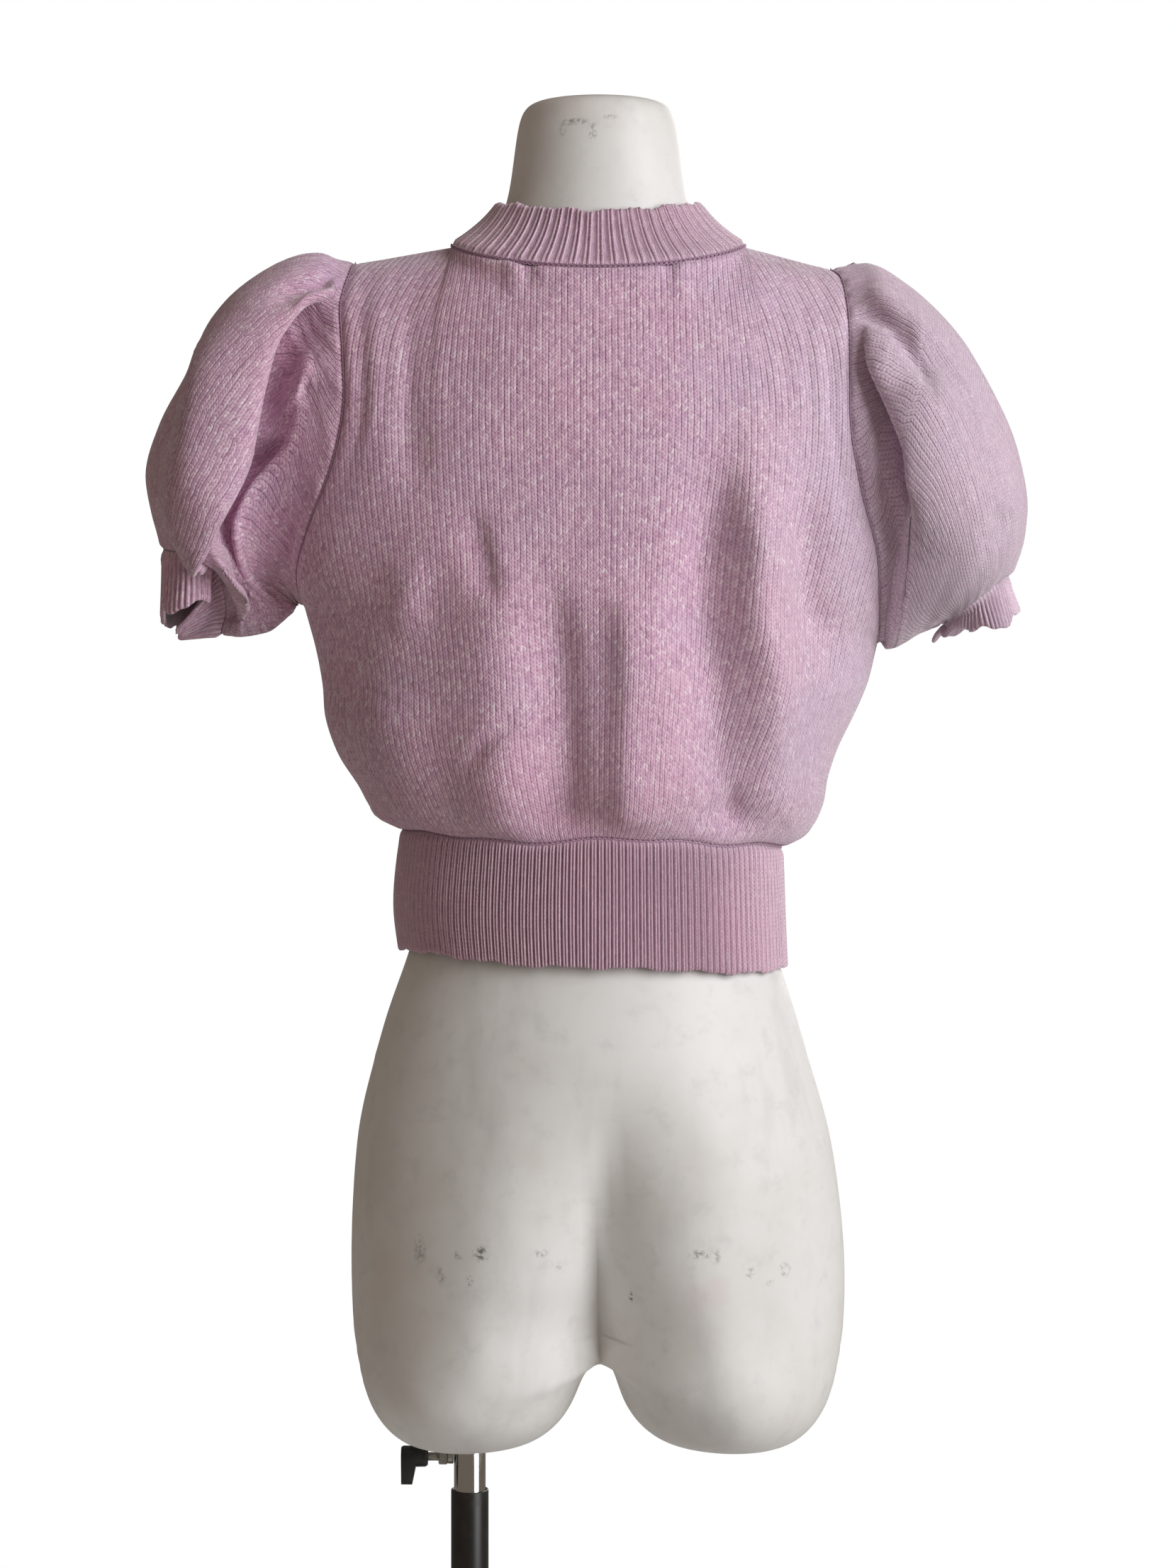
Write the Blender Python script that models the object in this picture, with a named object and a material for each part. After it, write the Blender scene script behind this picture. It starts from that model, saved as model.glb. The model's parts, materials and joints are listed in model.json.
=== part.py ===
"""A cropped knit top with gathered puff sleeves, worn by a limbless dress form on a pole stand.

Sizes are in millimetres and become metres as each mesh is made. The floor is z = 0, the wearer's
back faces -Y, and x = 0 is the middle of the back. Left and right are those of someone who looks at
the back: left is -X. A grid of cloth points has its rows along the cloth and its columns across it,
and across x along points out of the garment.
"""

import math

import bmesh
import bpy
import numpy as np

# The cloth
WALL = 2.0
SEAM_GAP, RIB_GAP = 0.3, 0.6
HALF_COLUMNS = 10  # columns of a panel from its middle to its side
NECK_COLUMNS = 6  # how many of them end at the neckline; the others end at the shoulder seam
ARM_STEPS = 18  # rows of a panel along one side of an armhole
ARM_TURN = 180 / ARM_STEPS
RISES = (0, 0.045, 0.11, 0.24, 0.42, 0.62, 0.82)  # rows below the underarm, as shares of that height
FOLD_STEPS, FOLD_END = 12, 0.3  # points between two of a fold's own, and the share in which it fades
SEAM_ROWS = 3  # rows above the hem's seam in which folds grow in
PLAIN_SIDE = 0.22  # the share of a panel beside its seams where folds fade out
SMOOTH_OVER = 40  # degrees, past which an edge is sharp

# The shoulder seam and the neckline
NECK_OUT, NECK_SIDE_Y, NECK_SIDE_Z = 99, -16, 1110
NECK_ROUND_Y, NECK_ROUND_Z = 0.8, 1.3  # the neckline leaves the shoulder forwards, then drops
SHOULDER_Y = -6
TOP_FROM, TOP_POWER = 0.45, 1.5  # where a panel's rows start to take the shape of its top
ARM_FRONT_SHARE = 0.92  # how deep the front of an armhole is beside its back

# A sleeve, along which 0 is the armhole and 1 the cuff
ARM_SHAPED, CUFF_SHAPED = 0.3, 0.72  # it has the armhole's shape before, and the cuff's after
FACE_EDGE = 0.35  # how far round the sleeve's edge the folds of its back and front fade out
PUFF_START, CUFF_NEAR, CUFF_CALM = 0.1, 0.9, 0.5  # folds grow in from the seam and calm by the cuff

# The ribbed bands: pairs of raised wales
RIB_HEIGHT = 1.0
SEAM_LIFT = 3  # how far cloth goes on past a seam before it turns
HEM_RIBS, NECK_RIBS, CUFF_RIBS = 126, 70, 4 * ARM_STEPS
HEM_BOTTOM_Z, HEM_TILT = 631, 0.05
NECK_TOP_OUT, NECK_TOP_Y, NECK_TOP_Z = 68, -10, 1139
NECK_TOP_BACK, NECK_TOP_FRONT = 50, 79  # how far the band's free edge reaches back and forward
NECK_TOP_DIP_BACK, NECK_TOP_DIP_FRONT = 10, 92
CUFF_TURN = 0.15  # the share of a cuff's depth in which it turns from the sleeve
NECK_BULGE = 3  # how far the band sags inwards between its edges

# The form and its stand
RING_POINTS = 12  # of the form's cage, before it is subdivided
CAGE_SWELL = 1.036  # subdividing a ring of 12 points shrinks it by this
STUMP_Z, CROTCH_Z = 304, 366
POLE_X, POLE_Y = -87, 0
TUBE_R, TUBE_WALL, TUBE_TOP_Z = 12.7, 1.7, 271
INNER_R, INNER_WALL, INNER_BOTTOM_Z = 10.7, 1.5, 150
PLATE_R, PLATE_HEIGHT, PLATE_CHAMFER = 165, 8, 2
FLANGE_R, FLANGE_HEIGHT, FLANGE_RIM, FLANGE_NECK = 30, 6, 2, 4
BOLT_Z, BOLT_R, BOLT_SHANK, BOLT_SIDES = 293, 3.1, 7, 12
NUT_R, NUT_LENGTH, TIP_R, TIP_LENGTH = 5.6, 6.1, 4.9, 4
HUB_R, HUB_LENGTH, HUB_CHAMFER, HUB_STEPS = 7.2, 18, 1.5, 12
HUB_SHOULDER, HUB_NECK, HUB_END = 0.97, 0.95, 0.8  # its three sections, as shares of its radius
LEVER_THICK, LEVER_HALF, LEVER_DROP, LEVER_LEAN, LEVER_FLARE = 10, 3.6, 18.5, 2.5, 2
LEVER_FACE, LEVER_ROUND, LEVER_WAIST = 0.88, 1, 0.8  # its outer face, its tip's bevel and its waist
STAND_SIDES, PLATE_SIDES = 24, 48
CLEAR = 0.3


def table(columns, *rows):
    """A short table: its first column says where each row is, the others what is there."""
    return {name: np.array(down, float) for name, down in zip(columns.split(), zip(*rows))}


# The body below the underarm. rise goes from the hem seam to the underarm
BODY = table(
    "rise left right back front",
    (0.00, 133, 124, 93, 88),
    (0.05, 149, 138, 96, 91),
    (0.11, 155, 145, 100, 95),
    (0.20, 162, 151, 107, 101),
    (0.35, 176, 155, 111, 107),
    (0.50, 184, 162, 112, 111),
    (0.65, 186, 172, 112, 116),
    (0.80, 190, 181, 112, 119),
    (1.00, 198, 188, 112, 121),
)
# The hem band below it, from its free edge up to the seam
HEM = table(
    "up left right back front",
    (0.00, 134, 127, 92.5, 87.5),
    (0.30, 137, 126, 93, 87.5),
    (1.00, 133, 124, 93, 88),
)
SEAM_Z = dict(left=719, middle=714, right=705)
UNDERARM_Z = dict(left=868, middle=855, right=842)

# Half an armhole, from the shoulder point (0 degrees) down to the underarm (180 degrees)
ARMHOLE = dict(
    left=table(
        "angle out depth height",
        (0, 164, 0, 1100),
        (20, 166, 20, 1092),
        (40, 171, 41, 1068),
        (60, 169, 57, 1036),
        (80, 168, 65, 999),
        (100, 176, 65, 960),
        (120, 191, 57, 923),
        (140, 201, 41, 894),
        (160, 201, 21, 875),
        (180, 198, 0, 868),
    ),
    right=table(
        "angle out depth height",
        (0, 157, 0, 1096),
        (20, 163, 20, 1087),
        (40, 166, 41, 1061),
        (60, 166, 57, 1027),
        (80, 166, 65, 986),
        (100, 173, 65, 944),
        (120, 184, 57, 903),
        (140, 187, 41, 871),
        (160, 188, 21, 850),
        (180, 188, 0, 842),
    ),
)

# The middle of each panel above the underarm. wrap is how far the panel has turned at its edge
MIDDLE = dict(
    back=table(
        "share height depth wrap",
        (0.0, 855, 112, 90),
        (0.2, 903, 112, 80),
        (0.4, 953, 111, 66),
        (0.6, 1003, 108, 58),
        (0.8, 1050, 98, 56),
        (1.0, 1089, 80, 60),
    ),
    front=table(
        "share height depth wrap",
        (0.0, 855, 121, 90),
        (0.2, 892, 124, 82),
        (0.4, 930, 124, 72),
        (0.6, 962, 118, 64),
        (0.8, 990, 106, 60),
        (1.0, 1015, 88, 60),
    ),
)

# A sleeve's sections: its outer and inner edge as seen from behind, and how far it stands back
SLEEVE = dict(
    left=table(
        "along outer_x outer_z inner_x inner_z back front",
        (0.00, 164, 1100, 198, 868, 65, 60),
        (0.10, 187, 1105, 205, 865, 75, 70),
        (0.25, 222, 1094, 214, 858, 84, 78),
        (0.40, 250, 1069, 222, 852, 88, 82),
        (0.55, 271, 1030, 230, 850, 88, 83),
        (0.70, 293, 990, 238, 849, 84, 80),
        (0.82, 303, 958, 245, 849, 75, 73),
        (0.92, 299, 930, 251, 850, 63, 62),
        (1.00, 294, 908, 255, 850, 50, 47),
    ),
    right=table(
        "along outer_x outer_z inner_x inner_z back front",
        (0.00, 157, 1096, 188, 842, 65, 60),
        (0.08, 178, 1101, 192, 840, 74, 69),
        (0.20, 206, 1088, 198, 840, 83, 77),
        (0.40, 243, 1051, 207, 844, 89, 83),
        (0.58, 268, 1009, 215, 849, 89, 84),
        (0.74, 284, 968, 222, 852, 83, 80),
        (0.87, 290, 930, 228, 855, 71, 69),
        (0.95, 286, 904, 231, 856, 60, 58),
        (1.00, 279, 889, 232, 856, 50, 47),
    ),
)
ALONG = (0, 0.045, 0.11, 0.19, 0.29, 0.4, 0.52, 0.64, 0.75, 0.85, 0.93, 1)  # rows of a sleeve

# The seam and the free edge of each cuff, once round from its outer side over its back
CUFF_SEAM = dict(
    left=table(
        "angle out depth height",
        (0, 294, 0, 908),
        (45, 286, 36, 906),
        (85, 270, 49, 904),
        (110, 260, 39, 896),
        (130, 258, 25, 881),
        (150, 256, 13, 866),
        (180, 255, -2, 850),
        (225, 258, -32, 858),
        (270, 273, -46, 877),
        (315, 288, -34, 899),
        (360, 294, 0, 908),
    ),
    right=table(
        "angle out depth height",
        (0, 279, 0, 889),
        (45, 271, 35, 886),
        (90, 252, 47, 872),
        (135, 238, 33, 861),
        (180, 232, 0, 856),
        (225, 238, -32, 861),
        (270, 254, -45, 873),
        (315, 271, -34, 885),
        (360, 279, 0, 889),
    ),
)
CUFF_EDGE = dict(
    left=table(
        "angle out depth height",
        (0, 295, 2, 858),
        (45, 289, 38, 864),
        (85, 270, 50, 867),
        (110, 259, 39, 873),
        (130, 266, 25, 868),
        (150, 277, 13, 859),
        (180, 286, -4, 848),
        (225, 285, -34, 848),
        (270, 290, -46, 852),
        (315, 296, -32, 856),
        (360, 295, 2, 858),
    ),
    right=table(
        "angle out depth height",
        (0, 285, 0, 867),
        (45, 276, 37, 859),
        (80, 262, 47, 852),
        (105, 250, 38, 853),
        (140, 239, 26, 852),
        (180, 230, 2, 850),
        (225, 231, -32, 847),
        (270, 246, -46, 851),
        (315, 272, -36, 859),
        (360, 285, 0, 867),
    ),
)


def fold(depth, left, right, start, end, *line):
    """A crease or ridge along a line of (x, z) places, from its top: how far it stands out of the
    cloth, how wide it is to each side, and how strong it is at its two ends."""
    return dict(depth=depth, left=left, right=right, start=start, end=end, line=np.array(line, float))


BACK_FOLDS = (
    fold(7, 30, 22, 0.1, 0.9, (-74, 928), (-64, 890), (-60, 860), (-64, 820), (-64, 780), (-64, 716)),
    fold(-8, 24, 14, 0.0, 1.0, (-36, 896), (-29, 856), (-25, 820), (-22, 780), (-24, 716)),
    fold(9, 14, 42, 0.0, 1.0, (16, 896), (19, 860), (20, 820), (19, 780), (17, 716)),
    fold(-10, 14, 15, 0.1, 0.8, (83, 968), (80, 900), (82, 860), (88, 820), (91, 780), (96, 716)),
    fold(12, 14, 22, 0.1, 0.3, (101, 1006), (103, 940), (106, 874), (118, 820), (124, 775)),
    fold(-6, 16, 16, 0.1, 0.3, (137, 965), (140, 874), (160, 828)),
    fold(4, 16, 14, 0.1, 0.1, (-120, 900), (-128, 845)),
    fold(5, 16, 16, 0.3, 0.2, (-148, 1078), (-149, 1022), (-145, 962)),
    fold(5, 18, 22, 0.1, 0.9, (-142, 822), (-136, 770), (-120, 722)),
)
FRONT_FOLDS = (
    fold(8, 22, 12, 0.0, 0.9, (-88, 905), (-94, 850), (-84, 780), (-72, 716)),
    fold(-7, 14, 18, 0.0, 0.9, (-52, 880), (-48, 800), (-38, 716)),
    fold(7, 14, 24, 0.0, 0.9, (10, 860), (4, 790), (8, 716)),
    fold(-6, 18, 12, 0.0, 0.9, (52, 885), (46, 810), (50, 716)),
    fold(9, 12, 24, 0.0, 0.9, (92, 910), (98, 845), (92, 780), (76, 716)),
    fold(-6, 10, 12, 0.1, 0.3, (140, 985), (134, 925), (148, 850)),
    fold(-6, 12, 10, 0.1, 0.3, (-146, 1000), (-138, 935), (-152, 860)),
)
SLEEVE_FOLDS = dict(
    left=dict(
        back=(
            fold(-24, 18, 32, 0.4, 0.5, (-182, 1062), (-212, 1038), (-222, 992), (-232, 941), (-236, 890)),
            fold(8, 16, 16, 0.5, 0.1, (-172, 1054), (-190, 1026), (-200, 990)),
            fold(7, 12, 22, 0.2, 0.3, (-216, 985), (-206, 945), (-194, 895)),
            fold(8, 22, 18, 0.1, 0.3, (-208, 1066), (-239, 1012), (-258, 960), (-264, 915)),
        ),
        front=(
            fold(-13, 18, 24, 0.3, 0.4, (-180, 1062), (-212, 1030), (-230, 970), (-248, 910)),
            fold(8, 18, 18, 0.3, 0.2, (-176, 1040), (-200, 990), (-214, 930)),
        ),
    ),
    right=dict(
        back=(
            fold(-17, 17, 15, 0.5, 0.4,
                 (178, 1042), (186, 1012), (193, 985), (198, 948), (198, 905), (194, 866)),
            fold(8, 14, 28, 0.5, 0.3, (190, 1052), (210, 1006), (222, 958), (220, 900)),
            fold(-6, 14, 16, 0.4, 0.1, (176, 1066), (190, 1058), (208, 1036), (229, 998)),
        ),
        front=(
            fold(-12, 18, 18, 0.3, 0.3, (184, 1050), (200, 1000), (206, 930), (200, 878)),
            fold(7, 18, 20, 0.3, 0.2, (200, 1066), (228, 1012), (238, 940)),
        ),
    ),
)

# The form's torso, from the top of its neck to just above the split
TORSO = table(
    "height shift half side_y back front pinch",
    (1196, 0, 55.5, 0, 50, 44, 1),
    (1165, 0, 59, -1, 52, 46, 1),
    (1140, 0, 62.5, -4, 54, 46, 1),
    (1118, 0, 71, -10, 58, 42, 1.05),
    (1100, 0, 100, -15, 64, 32, 1.25),
    (1076, 0, 140, -14, 76, 39, 1.35),
    (1035, 0, 156, -6, 91, 64, 1.15),
    (965, 0, 150, 0, 102, 109, 1),
    (905, 0, 136, 0, 98, 113, 1),
    (830, -1, 120, 0, 82, 94, 1),
    (755, -3, 112, 0, 70, 83, 1),
    (690, -4, 115, 0, 73, 80, 1),
    (640, -3.5, 123.4, 0, 84, 81, 1),
    (605, -5, 138, 0, 93, 86, 1),
    (555, -5, 153, 0, 104, 91, 1),
    (490, -2, 164, 0, 113, 93, 1),
    (425, 0, 168, 0, 110, 90, 1),
)
# One leg stump: its inner and outer side as seen from behind
STUMP = table(
    "height inner outer back front",
    (388, 0, 166, 104, 86),
    (350, 5, 162, 97, 83),
    (327, 10, 155, 89, 77),
)
NECK_TOP = 1210
CROTCH_X, CROTCH_SPREAD = 3, 0.62  # the three points under the split, and how far apart they are
CROTCH_LIFTS = (8, 0, 6)  # of the front, middle and back one
NECK_INSET, STUMP_INSET = 0.9, 0.7  # how much smaller the rings are that close the form's ends
STUMP_DEEP = 0.97
STUMP_INSIDE = 4  # steps along a stump's inner side


def ease(value, low=0.0, high=1.0):
    """0 below low and 1 above high, with a smooth ramp between."""
    share = np.clip((np.asarray(value, float) - low) / (high - low), 0, 1)
    return share * share * (3 - 2 * share)


def curve(places, values, at):
    """The value at a place, on a smooth curve through the given ones."""
    slopes = np.gradient(values, places)
    i = np.clip(np.searchsorted(places, at, side="right") - 1, 0, len(places) - 2)
    width = places[i + 1] - places[i]
    t = (at - places[i]) / width
    rest = 1 - t
    return (
        rest * rest * ((1 + 2 * t) * values[i] + t * width * slopes[i])
        + t * t * ((3 - 2 * t) * values[i + 1] - rest * width * slopes[i + 1])
    )


def read(rows, column, at):
    """A table's column between its rows."""
    return curve(next(iter(rows.values())), rows[column], at)


def unit(vectors):
    return vectors / np.maximum(np.linalg.norm(vectors, axis=-1, keepdims=True), 1e-9)


def steps(grid, axis, closed):
    """The step from each point to the next along one axis of a grid."""
    if closed:
        return np.roll(grid, -1, axis) - np.roll(grid, 1, axis)
    return np.gradient(grid, axis=axis)


def normals(grid, closed):
    return unit(np.cross(steps(grid, 1, closed), steps(grid, 0, False)))


def creased(grid, directions, folds, strength):
    """A grid moved along its directions by its folds."""
    moved = np.zeros(grid.shape[:2])
    for one in folds:
        line = one["line"]
        corners = np.arange(len(line), dtype=float)
        at = np.linspace(0, len(line) - 1, FOLD_STEPS * (len(line) - 1) + 1)
        path = np.stack([curve(corners, line[:, 0], at), curve(corners, line[:, 1], at)], -1)
        offset = grid[:, :, None, ::2] - path
        far = np.linalg.norm(offset, axis=-1)
        nearest = far.argmin(-1)
        heading = np.gradient(path, axis=0)[nearest]
        away = np.take_along_axis(offset, nearest[..., None, None], 2)[:, :, 0]
        right_of = heading[..., 0] * away[..., 1] - heading[..., 1] * away[..., 0] > 0
        width = np.where(right_of, one["right"], one["left"])
        share = nearest / (len(path) - 1)
        ends = one["start"] + (1 - one["start"]) * ease(share, 0, FOLD_END)
        ends *= one["end"] + (1 - one["end"]) * ease(1 - share, 0, FOLD_END)
        moved += one["depth"] * ends * np.exp(-((far.min(-1) / width) ** 2))
    return grid + directions * (moved * strength)[..., None]


def mesh_object(name, points, faces, material):
    """A named object from points in millimetres."""
    mesh = bpy.data.meshes.new(name)
    mesh.from_pydata((np.asarray(points) * 0.001).tolist(), [], faces)
    mesh.shade_smooth()
    mesh.set_sharp_from_angle(angle=math.radians(SMOOTH_OVER))
    mesh.materials.append(material)
    made = bpy.data.objects.new(name, mesh)
    bpy.context.scene.collection.objects.link(made)
    return made


def wall_solid(name, outer, inner, closed, material):
    """Cloth with a thickness. The outer grid may have several columns to each inner one."""
    rows, columns = outer.shape[:2]
    inner_columns = inner.shape[1]
    spans = inner_columns if closed else inner_columns - 1
    each = columns // inner_columns if closed else (columns - 1) // spans

    def outside(row, column):
        return row * columns + column % columns

    def inside(row, column):
        return rows * columns + row * inner_columns + column % inner_columns

    faces = []
    for row in range(rows - 1):
        up = row + 1
        for c in range(spans * each):
            faces.append([outside(row, c), outside(row, c + 1), outside(up, c + 1), outside(up, c)])
        for c in range(spans):
            faces.append([inside(row, c), inside(up, c), inside(up, c + 1), inside(row, c + 1)])
    for c in range(spans):
        rim = [outside(0, each * c + step) for step in range(each + 1)]
        faces.append([rim[0], inside(0, c), inside(0, c + 1)] + rim[:0:-1])
        last = rows - 1
        rim = [outside(last, each * c + step) for step in range(each + 1)]
        faces.append(rim + [inside(last, c + 1), inside(last, c)])
    if not closed:
        far = columns - 1
        deep = inner_columns - 1
        for row in range(rows - 1):
            up = row + 1
            faces.append([outside(row, 0), outside(up, 0), inside(up, 0), inside(row, 0)])
            faces.append([outside(up, far), outside(row, far), inside(row, deep), inside(up, deep)])
    points = np.concatenate([outer.reshape(-1, 3), inner.reshape(-1, 3)])
    return mesh_object(name, points, faces, material)


def level(heights, spread):
    """A height that changes from the middle to each side as an ellipse's own bow does."""
    edge = np.where(spread < 0, heights["left"], heights["right"])
    return heights["middle"] + (edge - heights["middle"]) * (1 - np.cos(spread * math.pi / 2))


def arc_row(spread, left, middle, right, wrap):
    """Points from the left edge over the middle to the right edge, bowed like part of an ellipse."""
    turn = np.radians(wrap)
    reach = np.abs(spread)
    out = np.sin(reach * turn) / np.sin(turn)
    bow = (1 - np.cos(reach * turn)) / (1 - np.cos(turn))
    edge = np.where((spread < 0)[:, None], left, right) - middle
    return middle + edge * np.stack([out, bow, bow], -1)


def body_row(facing, rise, spread):
    """A row between the hem seam and the underarm."""
    depth = read(BODY, "back" if facing < 0 else "front", rise) * facing
    row = arc_row(
        spread,
        np.array([-read(BODY, "left", rise), 0, 0]),
        np.array([0, depth, 0]),
        np.array([read(BODY, "right", rise), 0, 0]),
        90,
    )
    low, high = level(SEAM_Z, spread), level(UNDERARM_Z, spread)
    row[:, 2] = low + rise * (high - low)
    return row


def arm_point(side, angle, facing):
    """A point of an armhole's seam, on the back or the front."""
    rows = ARMHOLE[side]
    deep = read(rows, "depth", angle) * (1 if facing < 0 else ARM_FRONT_SHARE)
    y = SHOULDER_Y * (1 + math.cos(math.radians(angle))) / 2 + facing * deep
    out = read(rows, "out", angle)
    return np.array([-out if side == "left" else out, y, read(rows, "height", angle)])


def top_row(facing, spread):
    """The shoulder seams and the neckline between them."""
    middle = MIDDLE["back" if facing < 0 else "front"]
    depth, height = facing * middle["depth"][-1], middle["height"][-1]
    neck = NECK_COLUMNS / HALF_COLUMNS
    row = []
    for place in spread:
        side = "left" if place < 0 else "right"
        reach = abs(place)
        hand = math.copysign(1, place)
        corner = np.array([hand * NECK_OUT, NECK_SIDE_Y, NECK_SIDE_Z])
        if reach <= neck + 1e-6:
            turn = math.radians(90 * reach / neck)
            inwards = max(math.cos(turn), 0)
            reach_y, drop = inwards**NECK_ROUND_Y, inwards**NECK_ROUND_Z
            row.append([hand * NECK_OUT * math.sin(turn),
                        NECK_SIDE_Y + (depth - NECK_SIDE_Y) * reach_y,
                        NECK_SIDE_Z + (height - NECK_SIDE_Z) * drop])
        else:
            share = (reach - neck) / (1 - neck)
            row.append(corner + (arm_point(side, 0, facing) - corner) * share)
    return np.array(row)


def panel_grid(facing):
    """A front or back panel's cloth, rows from the hem seam up, and each row's share of that way."""
    spread = np.linspace(-1, 1, 2 * HALF_COLUMNS + 1)
    middle = MIDDLE["back" if facing < 0 else "front"]
    rows = [body_row(facing, rise, spread) for rise in RISES]
    top = top_row(facing, spread)
    ends = [arm_point("left", 0, facing), arm_point("right", 0, facing)]
    peak = np.array([0, facing * middle["depth"][-1], middle["height"][-1]])
    plain_top = arc_row(spread, ends[0], peak, ends[1], middle["wrap"][-1])
    for step in range(ARM_STEPS + 1):
        share = step / ARM_STEPS
        angle = 180 - step * ARM_TURN
        centre = np.array([0, facing * read(middle, "depth", share), read(middle, "height", share)])
        row = arc_row(spread, arm_point("left", angle, facing), centre,
                      arm_point("right", angle, facing), read(middle, "wrap", share))
        rows.append(row + (top - plain_top) * ease(share, TOP_FROM, 1) ** TOP_POWER)
    grid = np.array(rows)
    return grid if facing < 0 else grid[:, ::-1]


def panel(facing, folds):
    """A panel's outer points and their outward directions, folds and all."""
    grid = panel_grid(facing)
    out = normals(grid, False)
    spread = np.abs(np.linspace(-1, 1, 2 * HALF_COLUMNS + 1))
    rows = np.arange(len(grid))
    strength = ease(rows, 0, SEAM_ROWS)[:, None] * ease(1 - spread, 0, PLAIN_SIDE)
    return creased(grid, out, folds, strength), out


def share_seams(back, front):
    """Gives both panels one direction along each seam that they share, the side and the shoulder."""
    shoulder = HALF_COLUMNS - NECK_COLUMNS + 1
    below = len(RISES) + 1
    pairs = [((slice(0, below), 0), (slice(0, below), -1)), ((slice(0, below), -1), (slice(0, below), 0))]
    for column in range(shoulder):
        pairs.append(((-1, column), (-1, -1 - column)))
        pairs.append(((-1, -1 - column), (-1, column)))
    for mine, other in pairs:
        both = unit(back[mine] + front[other])
        back[mine] = both
        front[other] = both


def panel_solid(name, outer, out, material):
    """A panel with its wall, drawn back from the side and shoulder seams by half a seam's gap."""
    inner = outer - out * WALL
    below = len(RISES) + 1
    shoulder = HALF_COLUMNS - NECK_COLUMNS + 1
    for grid in (outer, inner):
        for edge, next_in in ((0, 1), (-1, -2)):
            grid[:below, edge] += unit(grid[:below, next_in] - grid[:below, edge]) * SEAM_GAP / 2
        for columns in (slice(0, shoulder), slice(-shoulder, None)):
            grid[-1, columns] += unit(grid[-2, columns] - grid[-1, columns]) * SEAM_GAP / 2
    return wall_solid(name, outer, inner, False, material)


def seam_ring(points, out, gap=SEAM_GAP):
    """A ring beside the edge of finished cloth, a gap away: its outer and inner points."""
    tangent = unit(np.roll(points, -1, 0) - np.roll(points, 1, 0))
    away = unit(np.cross(out, tangent)) * gap
    return points + away, points + away - out * WALL


def armhole_ring(side, back, front, back_out, front_out):
    """The points and directions once round an armhole, in the order of a sleeve's columns."""
    first = len(RISES)
    back_column, front_column = (0, -1) if side == "left" else (-1, 0)
    down_back = slice(None, first - 1, -1)
    up_front = slice(first + 1, -1)

    def ring(back_grid, front_grid):
        points = np.concatenate([back_grid[down_back, back_column], front_grid[up_front, front_column]])
        points[0] = (back_grid[-1, back_column] + front_grid[-1, front_column]) / 2
        return points

    points, out = ring(back, front), unit(ring(back_out, front_out))
    return (in_turn(points), in_turn(out)) if side == "left" else (points, out)


def in_turn(ring):
    """A left sleeve's columns run the other way round, from the same first one."""
    return np.roll(ring[::-1], 1, axis=0)


def turned_table(rows, side, angles):
    """Points of a table of (angle, out, depth, height) at the given angles."""
    hand = -1 if side == "left" else 1
    return np.stack([hand * read(rows, "out", angles), -read(rows, "depth", angles),
                     read(rows, "height", angles)], -1)


def sleeve_angles(side):
    angles = np.arange(2 * ARM_STEPS) * ARM_TURN
    return in_turn(angles) if side == "left" else angles


def sleeve(side, ring, ring_out):
    """A puff sleeve's outer and inner points, rows from the armhole to the cuff's seam."""
    angles = sleeve_angles(side)
    turn = np.radians(angles)
    hand = -1 if side == "left" else 1
    stations = SLEEVE[side]
    rows = []
    for along in ALONG:
        outer = np.array([hand * read(stations, "outer_x", along), 0, read(stations, "outer_z", along)])
        inner = np.array([hand * read(stations, "inner_x", along), 0, read(stations, "inner_z", along)])
        depth = np.where(np.sin(turn) > 0, read(stations, "back", along), read(stations, "front", along))
        row = (outer + inner) / 2 + (outer - inner) / 2 * np.cos(turn)[:, None]
        row[:, 1] -= depth * np.sin(turn)
        rows.append(row)
    grid = np.array(rows)
    along = np.array(ALONG)[:, None, None]
    grid = grid + (ring - grid[0]) * (1 - ease(along, 0, ARM_SHAPED))
    grid = grid + (turned_table(CUFF_SEAM[side], side, angles) - grid[-1]) * ease(along, CUFF_SHAPED, 1)
    out = normals(grid, True)
    behind = ease(np.sin(turn), 0, FACE_EDGE)
    before = ease(-np.sin(turn), 0, FACE_EDGE)
    ends = ease(along[..., 0], 0, PUFF_START) * (1 - CUFF_CALM * ease(along[..., 0], CUFF_NEAR, 1))
    grid = creased(grid, out, SLEEVE_FOLDS[side]["back"], behind * ends)
    grid = creased(grid, out, SLEEVE_FOLDS[side]["front"], before * ends)
    first, first_inner = seam_ring(ring, ring_out)
    grid[1] += unit(first - ring) * SEAM_LIFT
    grid[0] = first
    out = normals(grid, True)
    inner = grid - out * WALL
    inner[0] = first_inner
    return grid, inner, out


def evenly(ring, count):
    """Where count points lie evenly round a closed ring, as numbers of its own points.

    The nearest one to each of the ring's points moves onto it, so that both keep the same corners."""
    lengths = np.linalg.norm(np.roll(ring, -1, 0) - ring, axis=1)
    travelled = np.concatenate([[0], np.cumsum(lengths)])
    even = np.linspace(0, travelled[-1], count, endpoint=False)
    at = np.interp(even, travelled, np.arange(len(ring) + 1))
    for corner in range(len(ring)):
        at[np.abs(at - corner).argmin()] = corner
    return at


def between(ring, at):
    """The ring's values at such numbers."""
    low = np.floor(at).astype(int)
    share = (at - low)[:, None]
    return ring[low % len(ring)] * (1 - share) + ring[(low + 1) % len(ring)] * share


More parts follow.
